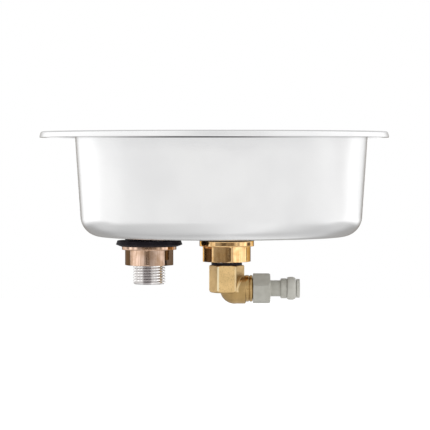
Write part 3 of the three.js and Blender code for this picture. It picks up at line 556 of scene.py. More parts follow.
def nut_outline(low, top):
    """A nut's outline: a bore with a coned mouth, a turned body and a flange on top."""
    flange_under = top - nut_flange
    mouth = 0.8 * mm
    return divided(soften([
        (half_inch_clear, low + mouth, 0), (half_inch_clear + mouth, low, seal_edge),
        (nut_corner_radius - nut_chamfer, low, seal_edge), (nut_corner_radius, low + nut_chamfer, seal_edge),
        (nut_corner_radius, flange_under, seal_edge), (nut_flange_radius, flange_under, edge),
        (nut_flange_radius, top, edge), (half_inch_clear, top, 0),
    ]), 0.45 * mm)


def back_nut(name, node, centre, turn):
    """A flanged nut in the place of its CAD node. Its first flat faces the turn, in degrees."""
    low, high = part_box(node)
    flats = flatted(nut_flats, nut_across, math.radians(turn), nut_corner_radius, nut_rounding, nut_crown)
    return lathe(name, nut_outline(low.z, high.z), centre, 288, flats)


def bronzed_brass(place):
    """Brass under a thin bronze tone: pinkish, with upright streaks. The flats that lie farthest out along X
    get a dark brown painted shade below the flange."""
    side_shade_start, side_shade_end = 10.8 * mm, 11.4 * mm
    x, _, z = place.parts()
    clouds = place.noise(170, 4)
    streaks = place.stretched(1, 1, 0.05).noise(1400, 2).step(0.42, 0.62)
    across = place.math("ABSOLUTE", x - drain_x + 0.9 * mm)
    flange_under = drain_nut_top - nut_flange
    # Painted shade darkens the body's flats that lie farthest out along X, below the flange.
    painted_side_shade = across.step(side_shade_start, side_shade_end) * z.step(flange_under - 0.2 * mm, flange_under, 1, 0)
    bronze = clouds.step(0.36, 0.66).blend((0.72, 0.52, 0.41, 1), (0.54, 0.36, 0.25, 1))
    streaked = (streaks * 0.35).blend(bronze, (0.30, 0.17, 0.08, 1))
    return {
        "Base Color": (painted_side_shade * 0.9).blend(streaked, (0.085, 0.062, 0.046, 1)),
        "Metallic": 1.0,
        "Specular Tint": (0.50, 0.43, 0.38, 1),
        "Roughness": 0.04 + 0.04 * clouds + 0.05 * streaks,
        "Normal": (streaks * 0.5 + clouds * 0.5).bump(0.002 * mm),
    }


drain_nut = back_nut("waste_back_nut", "drain_back_nut", drain_x, -71.5)
fit(drain_nut, finish("bronzed_brass", bronzed_brass), "drain_back_nut")


# Strainer: a pierced plated disc with a small knob, laid loose in the waste's ledge, so that it lifts out.
knob_radius = 2.2 * mm
knob_waist = 1.1 * mm
strainer_sheet = 1 * mm
strainer_hole = 1.1 * mm
strainer_edge = 0.3 * mm


def settle(piece):
    """Puts the result of a piece's modifiers into its mesh."""
    graph = bpy.context.evaluated_depsgraph_get()
    result = bpy.data.meshes.new_from_object(piece.evaluated_get(graph))
    piece.modifiers.clear()
    piece.data = result


def carve(piece, grids):
    """Takes the shape of the grids out of a piece."""
    tool = add_mesh("tool", grids)
    cut = piece.modifiers.new("cut", "BOOLEAN")
    cut.object = tool
    cut.solver = "EXACT"
    settle(piece)
    bpy.data.objects.remove(tool)


def pin(radius, low, high, columns=24):
    """A closed round pin about the Z axis through the origin, used to take holes out of a piece."""
    outline = np.array([[0, low], [radius, low], [radius, high], [0, high]])
    return turned(outline, 0.0, columns)


def placed(grid, x=0.0, y=0.0, z=0.0):
    """The grid moved by a distance along each axis."""
    return grid + [x, y, z]


knob_top = strainer_high.z
strainer_top = strainer_low.z + strainer_sheet
strainer = lathe("lift_out_strainer", soften([
    (0, strainer_low.z, 0), (strainer_radius, strainer_low.z, strainer_edge),
    (strainer_radius, strainer_top, strainer_edge), (knob_waist, strainer_top, knob_waist / 2),
    (knob_waist, knob_top - knob_radius, knob_waist / 2), (knob_radius, knob_top - knob_radius / 2, edge),
    (knob_radius, knob_top, 2 * edge), (0, knob_top, 0),
], 6), drain_x, 96)
strainer_holes = []
for count, share in [(10, 0.7), (5, 0.4)]:
    for angle in np.arange(count) * 2 * np.pi / count:
        x = drain_x + strainer_radius * share * math.cos(angle)
        y = strainer_radius * share * math.sin(angle)
        reach = pin(strainer_hole, strainer_low.z - mm, strainer_low.z + 2 * mm)
        strainer_holes.append((placed(reach, x, y), False))
carve(strainer, strainer_holes)
fit(strainer, plate, "drain_strainer", "waste_strainer")


# Spray valve body: a plated turning with a flange on the bowl's floor, a column above it and a shank that
# goes down through the floor and steps to a smaller thread. A seal lies on each side of the floor.
three_eighth_radius = 8.33 * mm
three_eighth_pitch = 1.337 * mm
three_eighth_depth = 0.86 * mm
column_radius = 11 * mm
chamber_radius = 8.2 * mm
shank_bore = 5.6 * mm
shank_chamfer = 0.6 * mm
valve_flange = 3 * mm
chamber_lift = 4.9 * mm
valve_flange_radius = (body_high.x - body_low.x) / 2
valve_flange_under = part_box("valve_flange_gasket")[1].z
column_base = valve_flange_under + valve_flange
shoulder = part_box("shank_washer")[1].z
chamber_floor = shoulder + chamber_lift
inlet_nut_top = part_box("inlet_back_nut")[1].z


def valve_threads(angle, radius, height):
    """The half inch thread above the shoulder and the three eighth thread below it."""
    upper = threaded(half_inch_radius, half_inch_pitch, half_inch_depth, shoulder, inlet_nut_top - mm)
    lower = threaded(
        three_eighth_radius, three_eighth_pitch, three_eighth_depth, body_low.z - mm, shoulder - mm)
    return lower(angle, upper(angle, radius, height), height)


valve_outline = soften([
    (shank_bore, body_low.z, edge), (three_eighth_radius - shank_chamfer, body_low.z, seal_edge),
    (three_eighth_radius, body_low.z + shank_chamfer, seal_edge), (three_eighth_radius, shoulder, seal_edge),
    (half_inch_radius, shoulder, seal_edge), (half_inch_radius, valve_flange_under, seal_edge),
    (valve_flange_radius, valve_flange_under, edge), (valve_flange_radius, column_base, 2 * edge),
    (column_radius, column_base, 3 * edge), (column_radius, body_high.z, edge),
    (chamber_radius, body_high.z, edge), (chamber_radius, chamber_floor, 3 * edge),
    (shank_bore, chamber_floor, edge),
])
valve_body = lathe("valve_body_turning", divided(valve_outline, 0.25 * mm), inlet_x, 128, valve_threads)
fit(valve_body, plate, "valve_body", crisp=50)

for name, node, shank_radius in [
    ("valve_flange_seal", "valve_flange_gasket", half_inch_radius),
    ("inlet_outer_seal", "inlet_outer_gasket", half_inch_radius),
    ("shank_step_washer", "shank_washer", three_eighth_radius),
    ("bonnet_seal", "bonnet_gasket", chamber_radius),
]:
    low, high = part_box(node)
    ring = lathe(name, washer_outline(
        shank_radius + running_gap, (high.y - low.y) / 2, low.z, high.z), inlet_x, 160)
    fit(ring, rubber, node)


# Inlet back nut: the same flanged nut in plain brass, brighter and more yellow, screwed up from below.
def machined_brass(place):
    """Brass off the lathe: bright, with upright marks of the bar and a few darker handled patches."""
    clouds = place.noise(200, 4)
    streaks = place.stretched(1, 1, 0.05).noise(1200, 2).step(0.42, 0.64)
    brass = clouds.step(0.4, 0.7).blend((0.80, 0.54, 0.27, 1), (0.62, 0.38, 0.16, 1))
    return {
        "Base Color": (streaks * 0.3).blend(brass, (0.45, 0.25, 0.08, 1)),
        "Metallic": 1.0,
        "Specular Tint": (0.80, 0.58, 0.34, 1),
        "Roughness": 0.04 + 0.05 * clouds + 0.04 * streaks,
        "Normal": (streaks * 0.5 + clouds * 0.5).bump(0.002 * mm),
    }


inlet_nut = back_nut("inlet_back_nut_turning", "inlet_back_nut", inlet_x, -58.5)
fit(inlet_nut, finish("machined_brass", machined_brass), "inlet_back_nut")


# Inlet elbow: one piece of brass, cast or hot forged, with a hexagonal socket, a round bend and a collar. It
# is tumbled to a fine grain and screws up onto the shank against the black washer.
elbow_low, elbow_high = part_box("inlet_elbow")
elbow_top = elbow_high.z
elbow_socket = 18.1 * mm
elbow_across = elbow_high.y - elbow_low.y
elbow_corner_radius = 11.7 * mm
elbow_chamfer = 0.6 * mm
elbow_round = 2.4 * mm
branch_level = elbow_top - 15.3 * mm
bend_radius = 9.6 * mm
bend_forward = 5.2 * mm
bend_drop = 0.6 * mm
barrel_radius = 9.2 * mm
barrel_drop = 0.9 * mm
barrel_length = 12.5 * mm
collar_radius = 8.8 * mm
collar_end = 17.1 * mm
collar_groove = 0.6 * mm
groove_start = 14.6 * mm
stub_radius = 6.58 * mm
stub_bore = 4.2 * mm
cast_edge = 0.4 * mm
elbow_skin = 0.215 * mm
shank_end_gap = 0.3 * mm
drop_floor_lift = 2 * mm


def along_x(grid, start_x, level):
    """Lays a piece that was turned about the Z axis along the X axis: its height becomes x."""
    return np.stack([start_x + grid[..., 2], grid[..., 1], level - grid[..., 0]], axis=-1)


def fuse(piece, voxel, rounds):
    """Makes one skin of a piece's overlapping shells and eases the joins, as a cast fillet does."""
    remesh = piece.modifiers.new("skin", "REMESH")
    remesh.mode = "VOXEL"
    remesh.voxel_size = voxel
    ease = piece.modifiers.new("ease", "SMOOTH")
    ease.factor = 0.5
    ease.iterations = rounds
    settle(piece)


elbow_end = elbow_top - elbow_socket
socket_outline = divided(soften([
    (0, elbow_end, 0), (elbow_corner_radius, elbow_end, elbow_round),
    (elbow_corner_radius, elbow_top - elbow_chamfer, seal_edge),
    (elbow_corner_radius - elbow_chamfer, elbow_top, seal_edge), (0, elbow_top, 0),
])[:-1], 0.5 * mm)
socket = turned(socket_outline, inlet_x, 180, flatted(
    6, elbow_across, math.radians(-90), elbow_corner_radius, cast_edge))
half_turn = np.linspace(-np.pi / 2, np.pi / 2, 49)
bend = turned(np.column_stack([bend_radius * np.cos(half_turn), bend_radius * np.sin(half_turn)]), 0.0, 96)
stub_end = elbow_high.x - inlet_x
barrel = turned(soften([
    (0, bend_forward, 0), (barrel_radius, bend_forward, 0), (barrel_radius, barrel_length, 2 * edge),
    (0, barrel_length, 0),
]), 0.0, 96)
branch = turned(soften([
    (0, bend_forward, 0), (barrel_radius / 2, bend_forward, 0), (collar_radius, barrel_length, edge),
    (collar_radius, groove_start, seal_edge), (collar_radius - collar_groove, groove_start, 0),
    (collar_radius - collar_groove, groove_start + collar_groove, 0),
    (collar_radius, groove_start + collar_groove, seal_edge),
    (collar_radius, collar_end, 2 * edge), (stub_radius, collar_end, 0), (stub_radius, stub_end, edge),
    (0, stub_end, 0),
]), 0.0, 96)
elbow = add_mesh("inlet_elbow_forging", [
    (socket, False),
    (placed(bend, inlet_x + bend_forward, 0, branch_level - bend_drop), False),
    (along_x(barrel, inlet_x, branch_level - barrel_drop), False),
    (along_x(branch, inlet_x, branch_level), False),
])
fuse(elbow, elbow_skin, 1)
shank_hole = pin(three_eighth_radius + running_gap, body_low.z - shank_end_gap, elbow_top + mm, 64)
for hole in [
    placed(shank_hole, inlet_x),
    placed(pin(shank_bore, elbow_end + drop_floor_lift, elbow_top, 64), inlet_x),
    along_x(pin(stub_bore, 0, stub_end + mm, 64), inlet_x, branch_level),
]:
    carve(elbow, [(hole, False)])


def forged_brass(place):
    """Tumbled brass: golden tan, pitted by a fine even grain, with a painted highlight on the socket's
    upright edges, stronger on the left. Its faces toward front and back are painted lighter and the others
    darker, as lit and shaded. The collar and all past it are machined."""
    grain = place.noise(1900, 4, 0.6)
    pits = place.noise(4200, 2)
    clouds = place.noise(130, 3)
    x, _, z = place.parts()
    collar_start = inlet_x + barrel_length
    machined = x.step(collar_start - 0.3 * mm, collar_start + 0.3 * mm)
    outward = place.outward(inlet_x)
    on_socket = z.step(elbow_end + 0.4 * mm, elbow_end + 1.2 * mm)
    on_socket = on_socket * outward.step(elbow_corner_radius + 0.1 * mm, elbow_corner_radius + 0.5 * mm, 1, 0)
    # A painted highlight on the socket's upright edges, stronger on the left.
    painted_edge_highlight = outward.step(elbow_corner_radius - 0.3 * mm, elbow_corner_radius - 0.1 * mm) * on_socket
    painted_edge_highlight = painted_edge_highlight * x.step(inlet_x, inlet_x + 3 * mm, 1, 0.35)
    facing = place.node("TexCoord", {}, {}, "Normal").parts()[1]
    # The socket's faces toward front and back are painted lighter, as lit, and the others darker, as shaded.
    painted_face_light = place.math("ABSOLUTE", facing).step(0.6, 0.9) * on_socket
    tone = 0.25 * clouds.step(0.35, 0.7) + 0.75 * (1 - painted_face_light)
    cast = tone.blend((0.86, 0.60, 0.28, 1), (0.44, 0.29, 0.12, 1))
    pitted = grain.step(0.52, 0.72).blend(cast, (0.42, 0.26, 0.10, 1))
    return {
        "Base Color": (painted_edge_highlight * 0.8).blend(pitted, (0.96, 0.86, 0.60, 1)),
        "Metallic": 1.0,
        "Roughness": machined.step(0, 1, 1, 0.4) * (0.26 + 0.16 * grain),
        "Normal": ((1 - machined) * (grain * 0.7 + pits * 0.3)).bump(0.11 * mm),
    }


fit(elbow, finish("forged_brass", forged_brass), "inlet_elbow", crisp=60)


# Bonnet: a plated hexagon that screws into the column and guides the stem. Its lower end is the valve's seat.
stem_radius = 4 * mm
ring_section = 0.85 * mm
groove_half = ring_section + running_gap
groove_radius = stem_radius + 2 * groove_half
seat_bore = 5 * mm
seat_ridge_radius = seat_bore + 1.2 * mm
bonnet_chamber = 5.8 * mm
bonnet_low, bonnet_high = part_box("valve_bonnet")
bonnet_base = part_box("bonnet_gasket")[1].z
bonnet_across = 21 * mm
bonnet_corner_radius = (bonnet_across + bonnet_across / math.cos(math.pi / 6)) / 4
stem_clear = stem_radius + running_gap
spigot_radius = chamber_radius - running_gap
seat_under = bonnet_low.z + 0.6 * mm
chamber_top = seat_under + 10 * mm
stem_seal_level = (bonnet_base + bonnet_high.z) / 2
seat_height = 1.5 * mm
bonnet_flats = flatted(6, bonnet_across, 0.0, bonnet_corner_radius, nut_rounding)
bonnet = lathe("valve_bonnet_turning", divided(soften([
    (seat_bore, bonnet_low.z, seal_edge), (seat_ridge_radius, bonnet_low.z, seal_edge),
    (seat_ridge_radius, seat_under, 0), (spigot_radius, seat_under, seal_edge),
    (spigot_radius, bonnet_base, 0), (bonnet_corner_radius, bonnet_base, seal_edge),
    (bonnet_corner_radius, bonnet_high.z, 3 * edge), (stem_clear, bonnet_high.z, edge),
    (stem_clear, stem_seal_level + groove_half, 0), (groove_radius, stem_seal_level + groove_half, 0),
    (groove_radius, stem_seal_level - groove_half, 0), (stem_clear, stem_seal_level - groove_half, 0),
    (stem_clear, chamber_top, 0), (bonnet_chamber, chamber_top, 0),
    (bonnet_chamber, seat_under + seat_height, 0), (seat_bore, seat_under + seat_height, 0),
]), 0.5 * mm), inlet_x, 192, bonnet_flats)
fit(bonnet, plate, "valve_bonnet")


def seal_circle(bore, level):
    """The round section of a seal ring round a bore, at a level, drawn a little thinner than its groove."""
    return arc((bore + ring_section, level), ring_section * 0.86, 0, 2 * np.pi, 24)[:-1]


for name, node, body in [
    ("stem_seal_ring", "stem_o_ring", "bowl_and_fittings"),
    ("star_seal_ring", "star_o_ring", "spray_head"),
]:
    low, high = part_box(node)
    seal_ring = lathe(name, seal_circle(stem_clear, (low.z + high.z) / 2), inlet_x, 96)
    fit(seal_ring, rubber, node, body)


# Plunger: a hollow plated stem with two cross holes. A rubber disc on its head closes the seat, and a coiled
# wire spring under the head pushes it shut and lifts the star.
plunger_low, plunger_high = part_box("valve_plunger")
head_radius = (plunger_high.y - plunger_low.y) / 2
head_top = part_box("plunger_seal")[0].z
head_under = head_top - 2.5 * mm
head_spigot = 3.4 * mm
stem_bore = 2.2 * mm
cross_hole = 1.3 * mm
cross_level = chamber_top - cross_hole - 0.3 * mm
plunger = lathe("valve_plunger_turning", soften([
    (0, plunger_low.z, 0), (head_spigot, plunger_low.z, edge), (head_spigot, head_under, 0),
    (head_radius, head_under, edge), (head_radius, head_top, edge), (stem_radius, head_top, 0),
    (stem_radius, plunger_high.z, edge), (stem_bore, plunger_high.z, edge / 2),
    (stem_bore, cross_level - cross_hole, 0), (0, cross_level - cross_hole, 0),
]), inlet_x, 96)
cross_reach = stem_radius + 2 * mm
carve(plunger, [(along_x(pin(cross_hole, -cross_reach, cross_reach), inlet_x, cross_level), False)])
fit(plunger, plate, "valve_plunger", "spray_head")

seal_low, seal_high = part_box("plunger_seal")
plunger_seal = lathe("plunger_seal_disc", washer_outline(
    stem_clear, (seal_high.y - seal_low.y) / 2, seal_low.z, seal_high.z), inlet_x, 96)
fit(plunger_seal, rubber, "plunger_seal", "spray_head")

spring_low, spring_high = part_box("return_spring")
spring_wire = 0.58 * mm
spring_radius = 5.2 * mm
spring_curls = 7


def coil(radius, wire, curls, low, high, curl_steps=48, sides=12):
    """A wire on a helix: its centre line climbs evenly with the angle, and each section is a circle in the
    plane of the radius and the height. Its last sections shrink to points, which closes the ends."""
    turn = np.linspace(0, 2 * np.pi * curls, curls * curl_steps + 1)
    rise = np.linspace(low + wire, high - wire, len(turn))
    section = np.linspace(0, 2 * np.pi, sides, endpoint=False)[None, :]
    thickness = np.full((len(turn), 1), wire)
    thickness[[0, -1]] = 0
    around = radius + thickness * np.cos(section)
    height = rise[:, None] + thickness * np.sin(section)
    return np.stack([around * np.cos(turn)[:, None], around * np.sin(turn)[:, None], height], axis=-1)


def drawn_wire(place):
    """Drawn spring wire: grey, with fine marks of the die and a trace of oil."""
    marks = place.noise(1600, 3)
    return {
        "Base Color": marks.step(0.3, 0.7).blend((0.52, 0.53, 0.55, 1), (0.36, 0.37, 0.39, 1)),
        "Metallic": 1.0,
        "Roughness": 0.22 + 0.16 * marks,
        "Normal": marks.bump(0.006 * mm),
    }


spring = add_mesh("return_spring_coil", [
    (placed(coil(spring_radius, spring_wire, spring_curls, spring_low.z, spring_high.z), inlet_x), False),
])
fit(spring, finish("drawn_wire", drawn_wire), "return_spring")
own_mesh(spring)


# Spray star: six hollow moulded arms on a hub that fits over the stem, in dark plastic. A plated cap with the
# middle jets closes the hub, and an upturned glass is pressed down on the arms.
star_low, star_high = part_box("spray_star")
star_reach = 41 * mm
arm_root = 4.5 * mm
arm_tip = 3.25 * mm
arm_height = 4.6 * mm
fin_height = 3 * mm
fin_width = 2.4 * mm
fin_length = 9 * mm
hub_radius = 11 * mm
hub_neck = 7.5 * mm
hub_chamber = 5.5 * mm
arm_top = star_high.z - fin_height
arm_middle = arm_top - arm_height / 2
cap_low, cap_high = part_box("spray_cap")
star_seal_level = (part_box("star_o_ring")[0].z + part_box("star_o_ring")[1].z) / 2
moulded_edge = 1 * mm
hub_floor = cap_low.z - 3.6 * mm
fin_half = 2.65 * mm
arm_start = 6.6 * mm
fin_end = star_reach - arm_tip + fin_width / 2


def bar(start, end, start_width, end_width, middle, half_height, lengths=60, sides=40):
    """A rounded bar along X: each section is a squarish oval, and the far end closes along a half circle."""
    share = np.linspace(0, 1, lengths)
    along = np.concatenate([start + (end - end_width - start) * share[:-1],
                            end - end_width + end_width * np.sin(share * np.pi / 2)])
    half_width = np.concatenate([start_width + (end_width - start_width) * share[:-1],
                                 end_width * np.cos(share * np.pi / 2)])[:, None]
    tip_height = 0.55 + 0.45 * np.cos(share * np.pi / 2)
    height = np.concatenate([np.ones(lengths - 1), tip_height])[:, None] * half_height
    half_width[0] = height[0] = 0
    angle = np.linspace(0, 2 * np.pi, sides, endpoint=False)[None, :]
    oval = lambda wave: np.sign(wave) * np.abs(wave) ** 0.45
    along = np.broadcast_to(along[:, None], (len(along), sides))
    return np.stack([along, half_width * oval(np.cos(angle)), middle + height * oval(np.sin(angle))], axis=-1)


def swung(grid, angle, centre_x):
    """Turns a grid about the upright axis through the valve."""
    x, y = grid[..., 0], grid[..., 1]
    return np.stack([
        centre_x + x * math.cos(angle) - y * math.sin(angle),
        x * math.sin(angle) + y * math.cos(angle), grid[..., 2],
    ], axis=-1)


hub = turned(soften([
    (stem_clear, star_low.z, edge), (hub_neck, star_low.z, moulded_edge),
    (hub_neck, arm_middle - 3 * mm, moulded_edge), (hub_radius, arm_middle - 1.6 * mm, moulded_edge),
    (hub_radius, arm_top, moulded_edge), (hub_chamber, arm_top, 0),
    (hub_chamber, hub_floor, 0), (groove_radius, hub_floor, 0),
    (groove_radius, star_seal_level - groove_half, 0), (stem_clear, star_seal_level - groove_half, 0),
]), inlet_x, 128)
star_shells = [(hub, True)]
arm_angles = (np.arange(6) + 0.5) * np.pi / 3
for angle in arm_angles:
    arm = bar(arm_start, star_reach, arm_root, arm_tip, arm_middle, arm_height / 2)
    fin = bar(fin_end - fin_length, fin_end, fin_width / 2, fin_width / 2, star_high.z - fin_half, fin_half)
    star_shells += [(swung(arm, angle, inlet_x), False), (swung(fin, angle, inlet_x), False)]
star = add_mesh("spray_star_moulding", star_shells)
fuse(star, 0.35 * mm, 4)
jet_radius = 0.8 * mm
jets = []
for angle in arm_angles:
    for share in (0.45, 0.62):
        jet = placed(pin(jet_radius, arm_middle, arm_top + mm), star_reach * share)
        jets.append((swung(jet, angle, inlet_x), False))
carve(star, jets)


def moulded_black(place):
    """Moulded acetal: near black with a blue cast, satin, with a soft flow pattern and fine scuffs on top."""
    flow = place.noise(240, 3)
    scuffs = place.stretched(1, 3, 1).noise(1400, 2).step(0.62, 0.8)
    return {
        "Base Color": scuffs.blend((0.020, 0.022, 0.026, 1), (0.055, 0.058, 0.064, 1)),
        "Roughness": 0.32 + 0.14 * flow + 0.1 * scuffs,
        "Normal": flow.bump(0.02 * mm),
    }


fit(star, finish("moulded_black", moulded_black), "spray_star", "spray_head", crisp=60)

cap_radius = (cap_high.x - cap_low.x) / 2
cap_seat = arm_top
cap_plug = hub_chamber - running_gap
cap_side = 0.8 * mm
cap_cone = 1.6 * mm
cap = lathe("spray_cap_turning", soften([
    (0, cap_low.z, 0), (cap_plug, cap_low.z, seal_edge), (cap_plug, cap_seat, 0),
    (cap_radius, cap_seat, seal_edge), (cap_radius, cap_seat + cap_side, 2 * edge),
    (cap_radius - cap_cone, cap_high.z, 2 * edge), (0, cap_high.z, 0),
], 6), inlet_x, 128)
cap_jets = [(placed(pin(jet_radius, cap_low.z - mm, cap_high.z + mm), inlet_x), False)]
for angle in arm_angles:
    jet = placed(pin(jet_radius, cap_low.z - mm, cap_high.z + mm), 0.38 * cap_radius)
    cap_jets.append((swung(jet, angle, inlet_x), False))
carve(cap, cap_jets)
fit(cap, plate, "spray_cap", "spray_head")


# Water adapter: a grey moulded push-fit body that screws onto the elbow, with a bulged cap welded over its
# barrel. The slotted collet grips the tube when it is pulled outward.
adapter_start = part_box("push_fit_body")[0].x
hexagon_end = adapter_start + 11.3 * mm
neck_end = hexagon_end + 6.8 * mm
ring_end = neck_end + 4.1 * mm
adapter_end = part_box("push_fit_body")[1].x
socket_radius = stub_radius + 0.3 * mm
socket_end = adapter_start + 9.9 * mm
pocket_start = neck_end + 2.3 * mm
neck_radius = 5.3 * mm
ring_radius = 6.6 * mm
barrel_spigot = 5.9 * mm
seal_pocket = 5.1 * mm
tube_socket = 3.4 * mm
adapter_bore = 2.6 * mm
tube_stop = hexagon_end + 3.4 * mm
adapter_across = 18.5 * mm
adapter_corner = adapter_across / 2 / math.cos(math.pi / 6)
adapter_turn = math.radians(48)
adapter_rounding = 0.35 * mm
adapter_chamfer = 1.2 * mm
neck_fillet = 0.8 * mm
ring_chamfer = 0.5 * mm
plastic_edge = 0.3 * mm


def acetal(dark, light):
    """Moulded acetal between two tones: satin, with a faint flow pattern and the fine skin of the mould."""
    def draw(place):
        flow = place.noise(260, 3)
        return {
            "Base Color": flow.step(0.3, 0.7).blend(dark, light),
            "Roughness": 0.40 + 0.16 * flow,
            "Normal": place.noise(3800, 2).bump(0.025 * mm),
        }
    return draw


def on_branch(name, outline, columns=96, shape=None):
    """A hollow piece turned about the branch's axis: its outline is of radius and x."""
    return add_mesh(name, [(along_x(turned(outline, 0.0, columns, shape), 0, branch_level), True)])


body_acetal = finish("grey_acetal", acetal((0.455, 0.445, 0.39, 1), (0.51, 0.50, 0.445, 1)))
pale_acetal = finish("light_acetal", acetal((0.53, 0.52, 0.465, 1), (0.585, 0.575, 0.52, 1)))
adapter_flats = flatted(6, adapter_across, adapter_turn, adapter_corner, adapter_rounding)
adapter_body = on_branch("push_fit_body_moulding", divided(soften([
    (socket_radius, adapter_start, 0), (adapter_corner - plastic_edge, adapter_start, plastic_edge),
    (adapter_corner, adapter_start + plastic_edge, plastic_edge),
    (adapter_corner, hexagon_end - adapter_chamfer, plastic_edge),
    (adapter_corner - adapter_chamfer, hexagon_end, plastic_edge), (neck_radius, hexagon_end, neck_fillet),
    (neck_radius, neck_end, plastic_edge), (ring_radius - ring_chamfer, neck_end, plastic_edge),
    (ring_radius, neck_end + ring_chamfer, plastic_edge), (ring_radius, ring_end, plastic_edge),
    (barrel_spigot, ring_end, 0), (barrel_spigot, adapter_end, seal_edge),
    (seal_pocket, adapter_end, seal_edge), (seal_pocket, pocket_start, 0),
    (tube_socket, pocket_start, seal_edge), (tube_socket, tube_stop, 0),
    (adapter_bore, tube_stop, seal_edge), (adapter_bore, socket_end, seal_edge),
    (socket_radius, socket_end, 0),
]), 0.5 * mm), 216, adapter_flats)
fit(adapter_body, body_acetal, "push_fit_body")

cap_start, cap_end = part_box("push_fit_cap")[0].x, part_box("push_fit_cap")[1].x
shell_radius = 7.6 * mm
bulge = (cap_end - cap_start) / 4
bulge_bend = 1.3 * mm
shell_start_radius = 7.15 * mm
shell_end_radius = 6.4 * mm
mouth_radius = 4.4 * mm
mouth_length = 1.7 * mm
mouth_cone_radius = 4.85 * mm
mouth_cone_length = 1.95 * mm
shell_floor = adapter_end + 0.3 * mm
sleeve = barrel_spigot + running_gap
shell = on_branch("push_fit_cap_moulding", soften([
    (sleeve, cap_start, 0), (shell_start_radius, cap_start, plastic_edge),
    (shell_radius, cap_start + bulge, bulge_bend), (shell_radius, cap_end - bulge, bulge_bend),
    (shell_end_radius, cap_end, plastic_edge), (mouth_radius, cap_end, plastic_edge),
    (mouth_radius, cap_end - mouth_length, 0), (mouth_cone_radius, cap_end - mouth_cone_length, 0),
    (seal_pocket, shell_floor, 0), (sleeve, shell_floor, 0),
], 8), 160)
fit(shell, pale_acetal, "push_fit_cap")

collet_low, collet_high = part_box("push_fit_collet")
collet_flange_start = collet_high.x - 2.3 * mm
collet_flange = (collet_high.y - collet_low.y) / 2
collet_bore = 3.3 * mm
collet_stem = 4.15 * mm
collet_lip = 4.7 * mm
lip_length = 1.5 * mm
lip_cone_end = 2 * mm
collet = on_branch("push_fit_collet_moulding", soften([
    (collet_bore, collet_low.x, 0), (collet_lip, collet_low.x, seal_edge),
    (collet_lip, collet_low.x + lip_length, seal_edge), (collet_stem, collet_low.x + lip_cone_end, seal_edge),
    (collet_stem, collet_flange_start, 0), (collet_flange, collet_flange_start, plastic_edge),
    (collet_flange, collet_high.x, plastic_edge), (collet_bore, collet_high.x, plastic_edge),
]), 128)
slot_width = 0.8 * mm
slot_end = collet_flange_start - 0.5 * mm


def block(low, high):
    """A closed box as a grid: four corners round the X axis on each end, and a point in each end's middle."""
    corners = np.array([[low[1], low[2]], [high[1], low[2]], [high[1], high[2]], [low[1], high[2]]])
    middle = np.repeat(corners.mean(0, keepdims=True), 4, axis=0)
    rows = [(low[0], middle), (low[0], corners), (high[0], corners), (high[0], middle)]
    return np.stack([np.column_stack([np.full(4, x), yz]) for x, yz in rows])


for half_y, half_z in [(slot_width / 2, collet_lip + mm), (collet_lip + mm, slot_width / 2)]:
    slot_low = (collet_low.x - mm, -half_y, branch_level - half_z)
    carve(collet, [(block(slot_low, (slot_end, half_y, branch_level + half_z)), False)])
fit(collet, pale_acetal, "push_fit_collet", "tube_collet")

face_low, face_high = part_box("adapter_seal")
face_seal_bore = 3.6 * mm
face_seal = on_branch("adapter_face_seal", washer_outline(
    face_seal_bore, stub_radius, face_low.x, face_high.x))
fit(face_seal, rubber, "adapter_seal")
tube_low, tube_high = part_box("tube_o_ring")
tube_ring = on_branch("tube_seal_ring", seal_circle(tube_socket, (tube_low.x + tube_high.x) / 2))
fit(tube_ring, rubber, "tube_o_ring")


# Studio: a pale floor well below the hanging object, one wide soft lamp above the camera's left, a weak one
# at the right, and a surround that the camera sees as white. Metal sees the room's bright and dark bands in
# it instead, which give its faces their tones.
floor_level = -0.30
floor_size = 6.0


def pale_floor(place):
    """A pale diffuse floor that shows nearly white to the camera, and keeps a share of its shadows."""
    shown = place.node("LightPath", {}, {}, "Is Camera Ray")
    return {
        "Base Color": place.noise(3, 2).blend((0.86, 0.86, 0.86, 1), (0.88, 0.88, 0.88, 1)),
        "Roughness": 0.9,
        "Emission Color": shown.blend((0, 0, 0, 1), (0.5, 0.5, 0.5, 1)),
        "Emission Strength": 1.0,
    }


half = floor_size / 2
floor_mesh = bpy.data.meshes.new("floor")
floor_mesh.from_pydata([(-half, -half, floor_level), (half, -half, floor_level), (half, half, floor_level),
                        (-half, half, floor_level)], [], [(0, 1, 2, 3)])
floor = bpy.data.objects.new("floor", floor_mesh)
bpy.context.scene.collection.objects.link(floor)
floor_mesh.materials.append(finish("pale_floor", pale_floor))
floor.visible_glossy = False


def lamp(name, place, target, width, power):
    """A square soft lamp at a place, turned toward a target."""
    light = bpy.data.lights.new(name, "AREA")
    light.size = width
    light.energy = power
    lamp_object = bpy.data.objects.new(name, light)
    lamp_object.location = place
    lamp_object.rotation_euler = (target - Vector(place)).to_track_quat("-Z", "Y").to_euler()
    bpy.context.scene.collection.objects.link(lamp_object)
    lamp_object.visible_glossy = False


middle = Vector((0, 0, -0.05))
lamp("key_lamp", (-0.7, -1.1, 1.1), middle, 1.0, 9)
lamp("fill_lamp", (1.1, -0.9, 0.3), middle, 1.0, 4)

world = bpy.data.worlds.new("studio")
bpy.context.scene.world = world
world.use_nodes = True
world.node_tree.nodes.clear()
direction = Socket(world.node_tree).node("TexCoord", {}, {}, "Generated")
east, north, height = direction.parts()
azimuth = direction.math("ARCTAN2", east, 0 - north) * math.degrees(1)
elevation = direction.math("ARCSINE", height) * math.degrees(1)
aside = direction.math("ABSOLUTE", azimuth)


def levels(value, low, high, stops):
    """Brightness along a value, given as (value, brightness) pairs."""
    places = [((stop - low) / (high - low), level / brightest) for stop, level in stops]
    share = (value - low) / (high - low)
    return share.node("ValToRGB", {"stops": places}, {"Fac": share}) * brightest


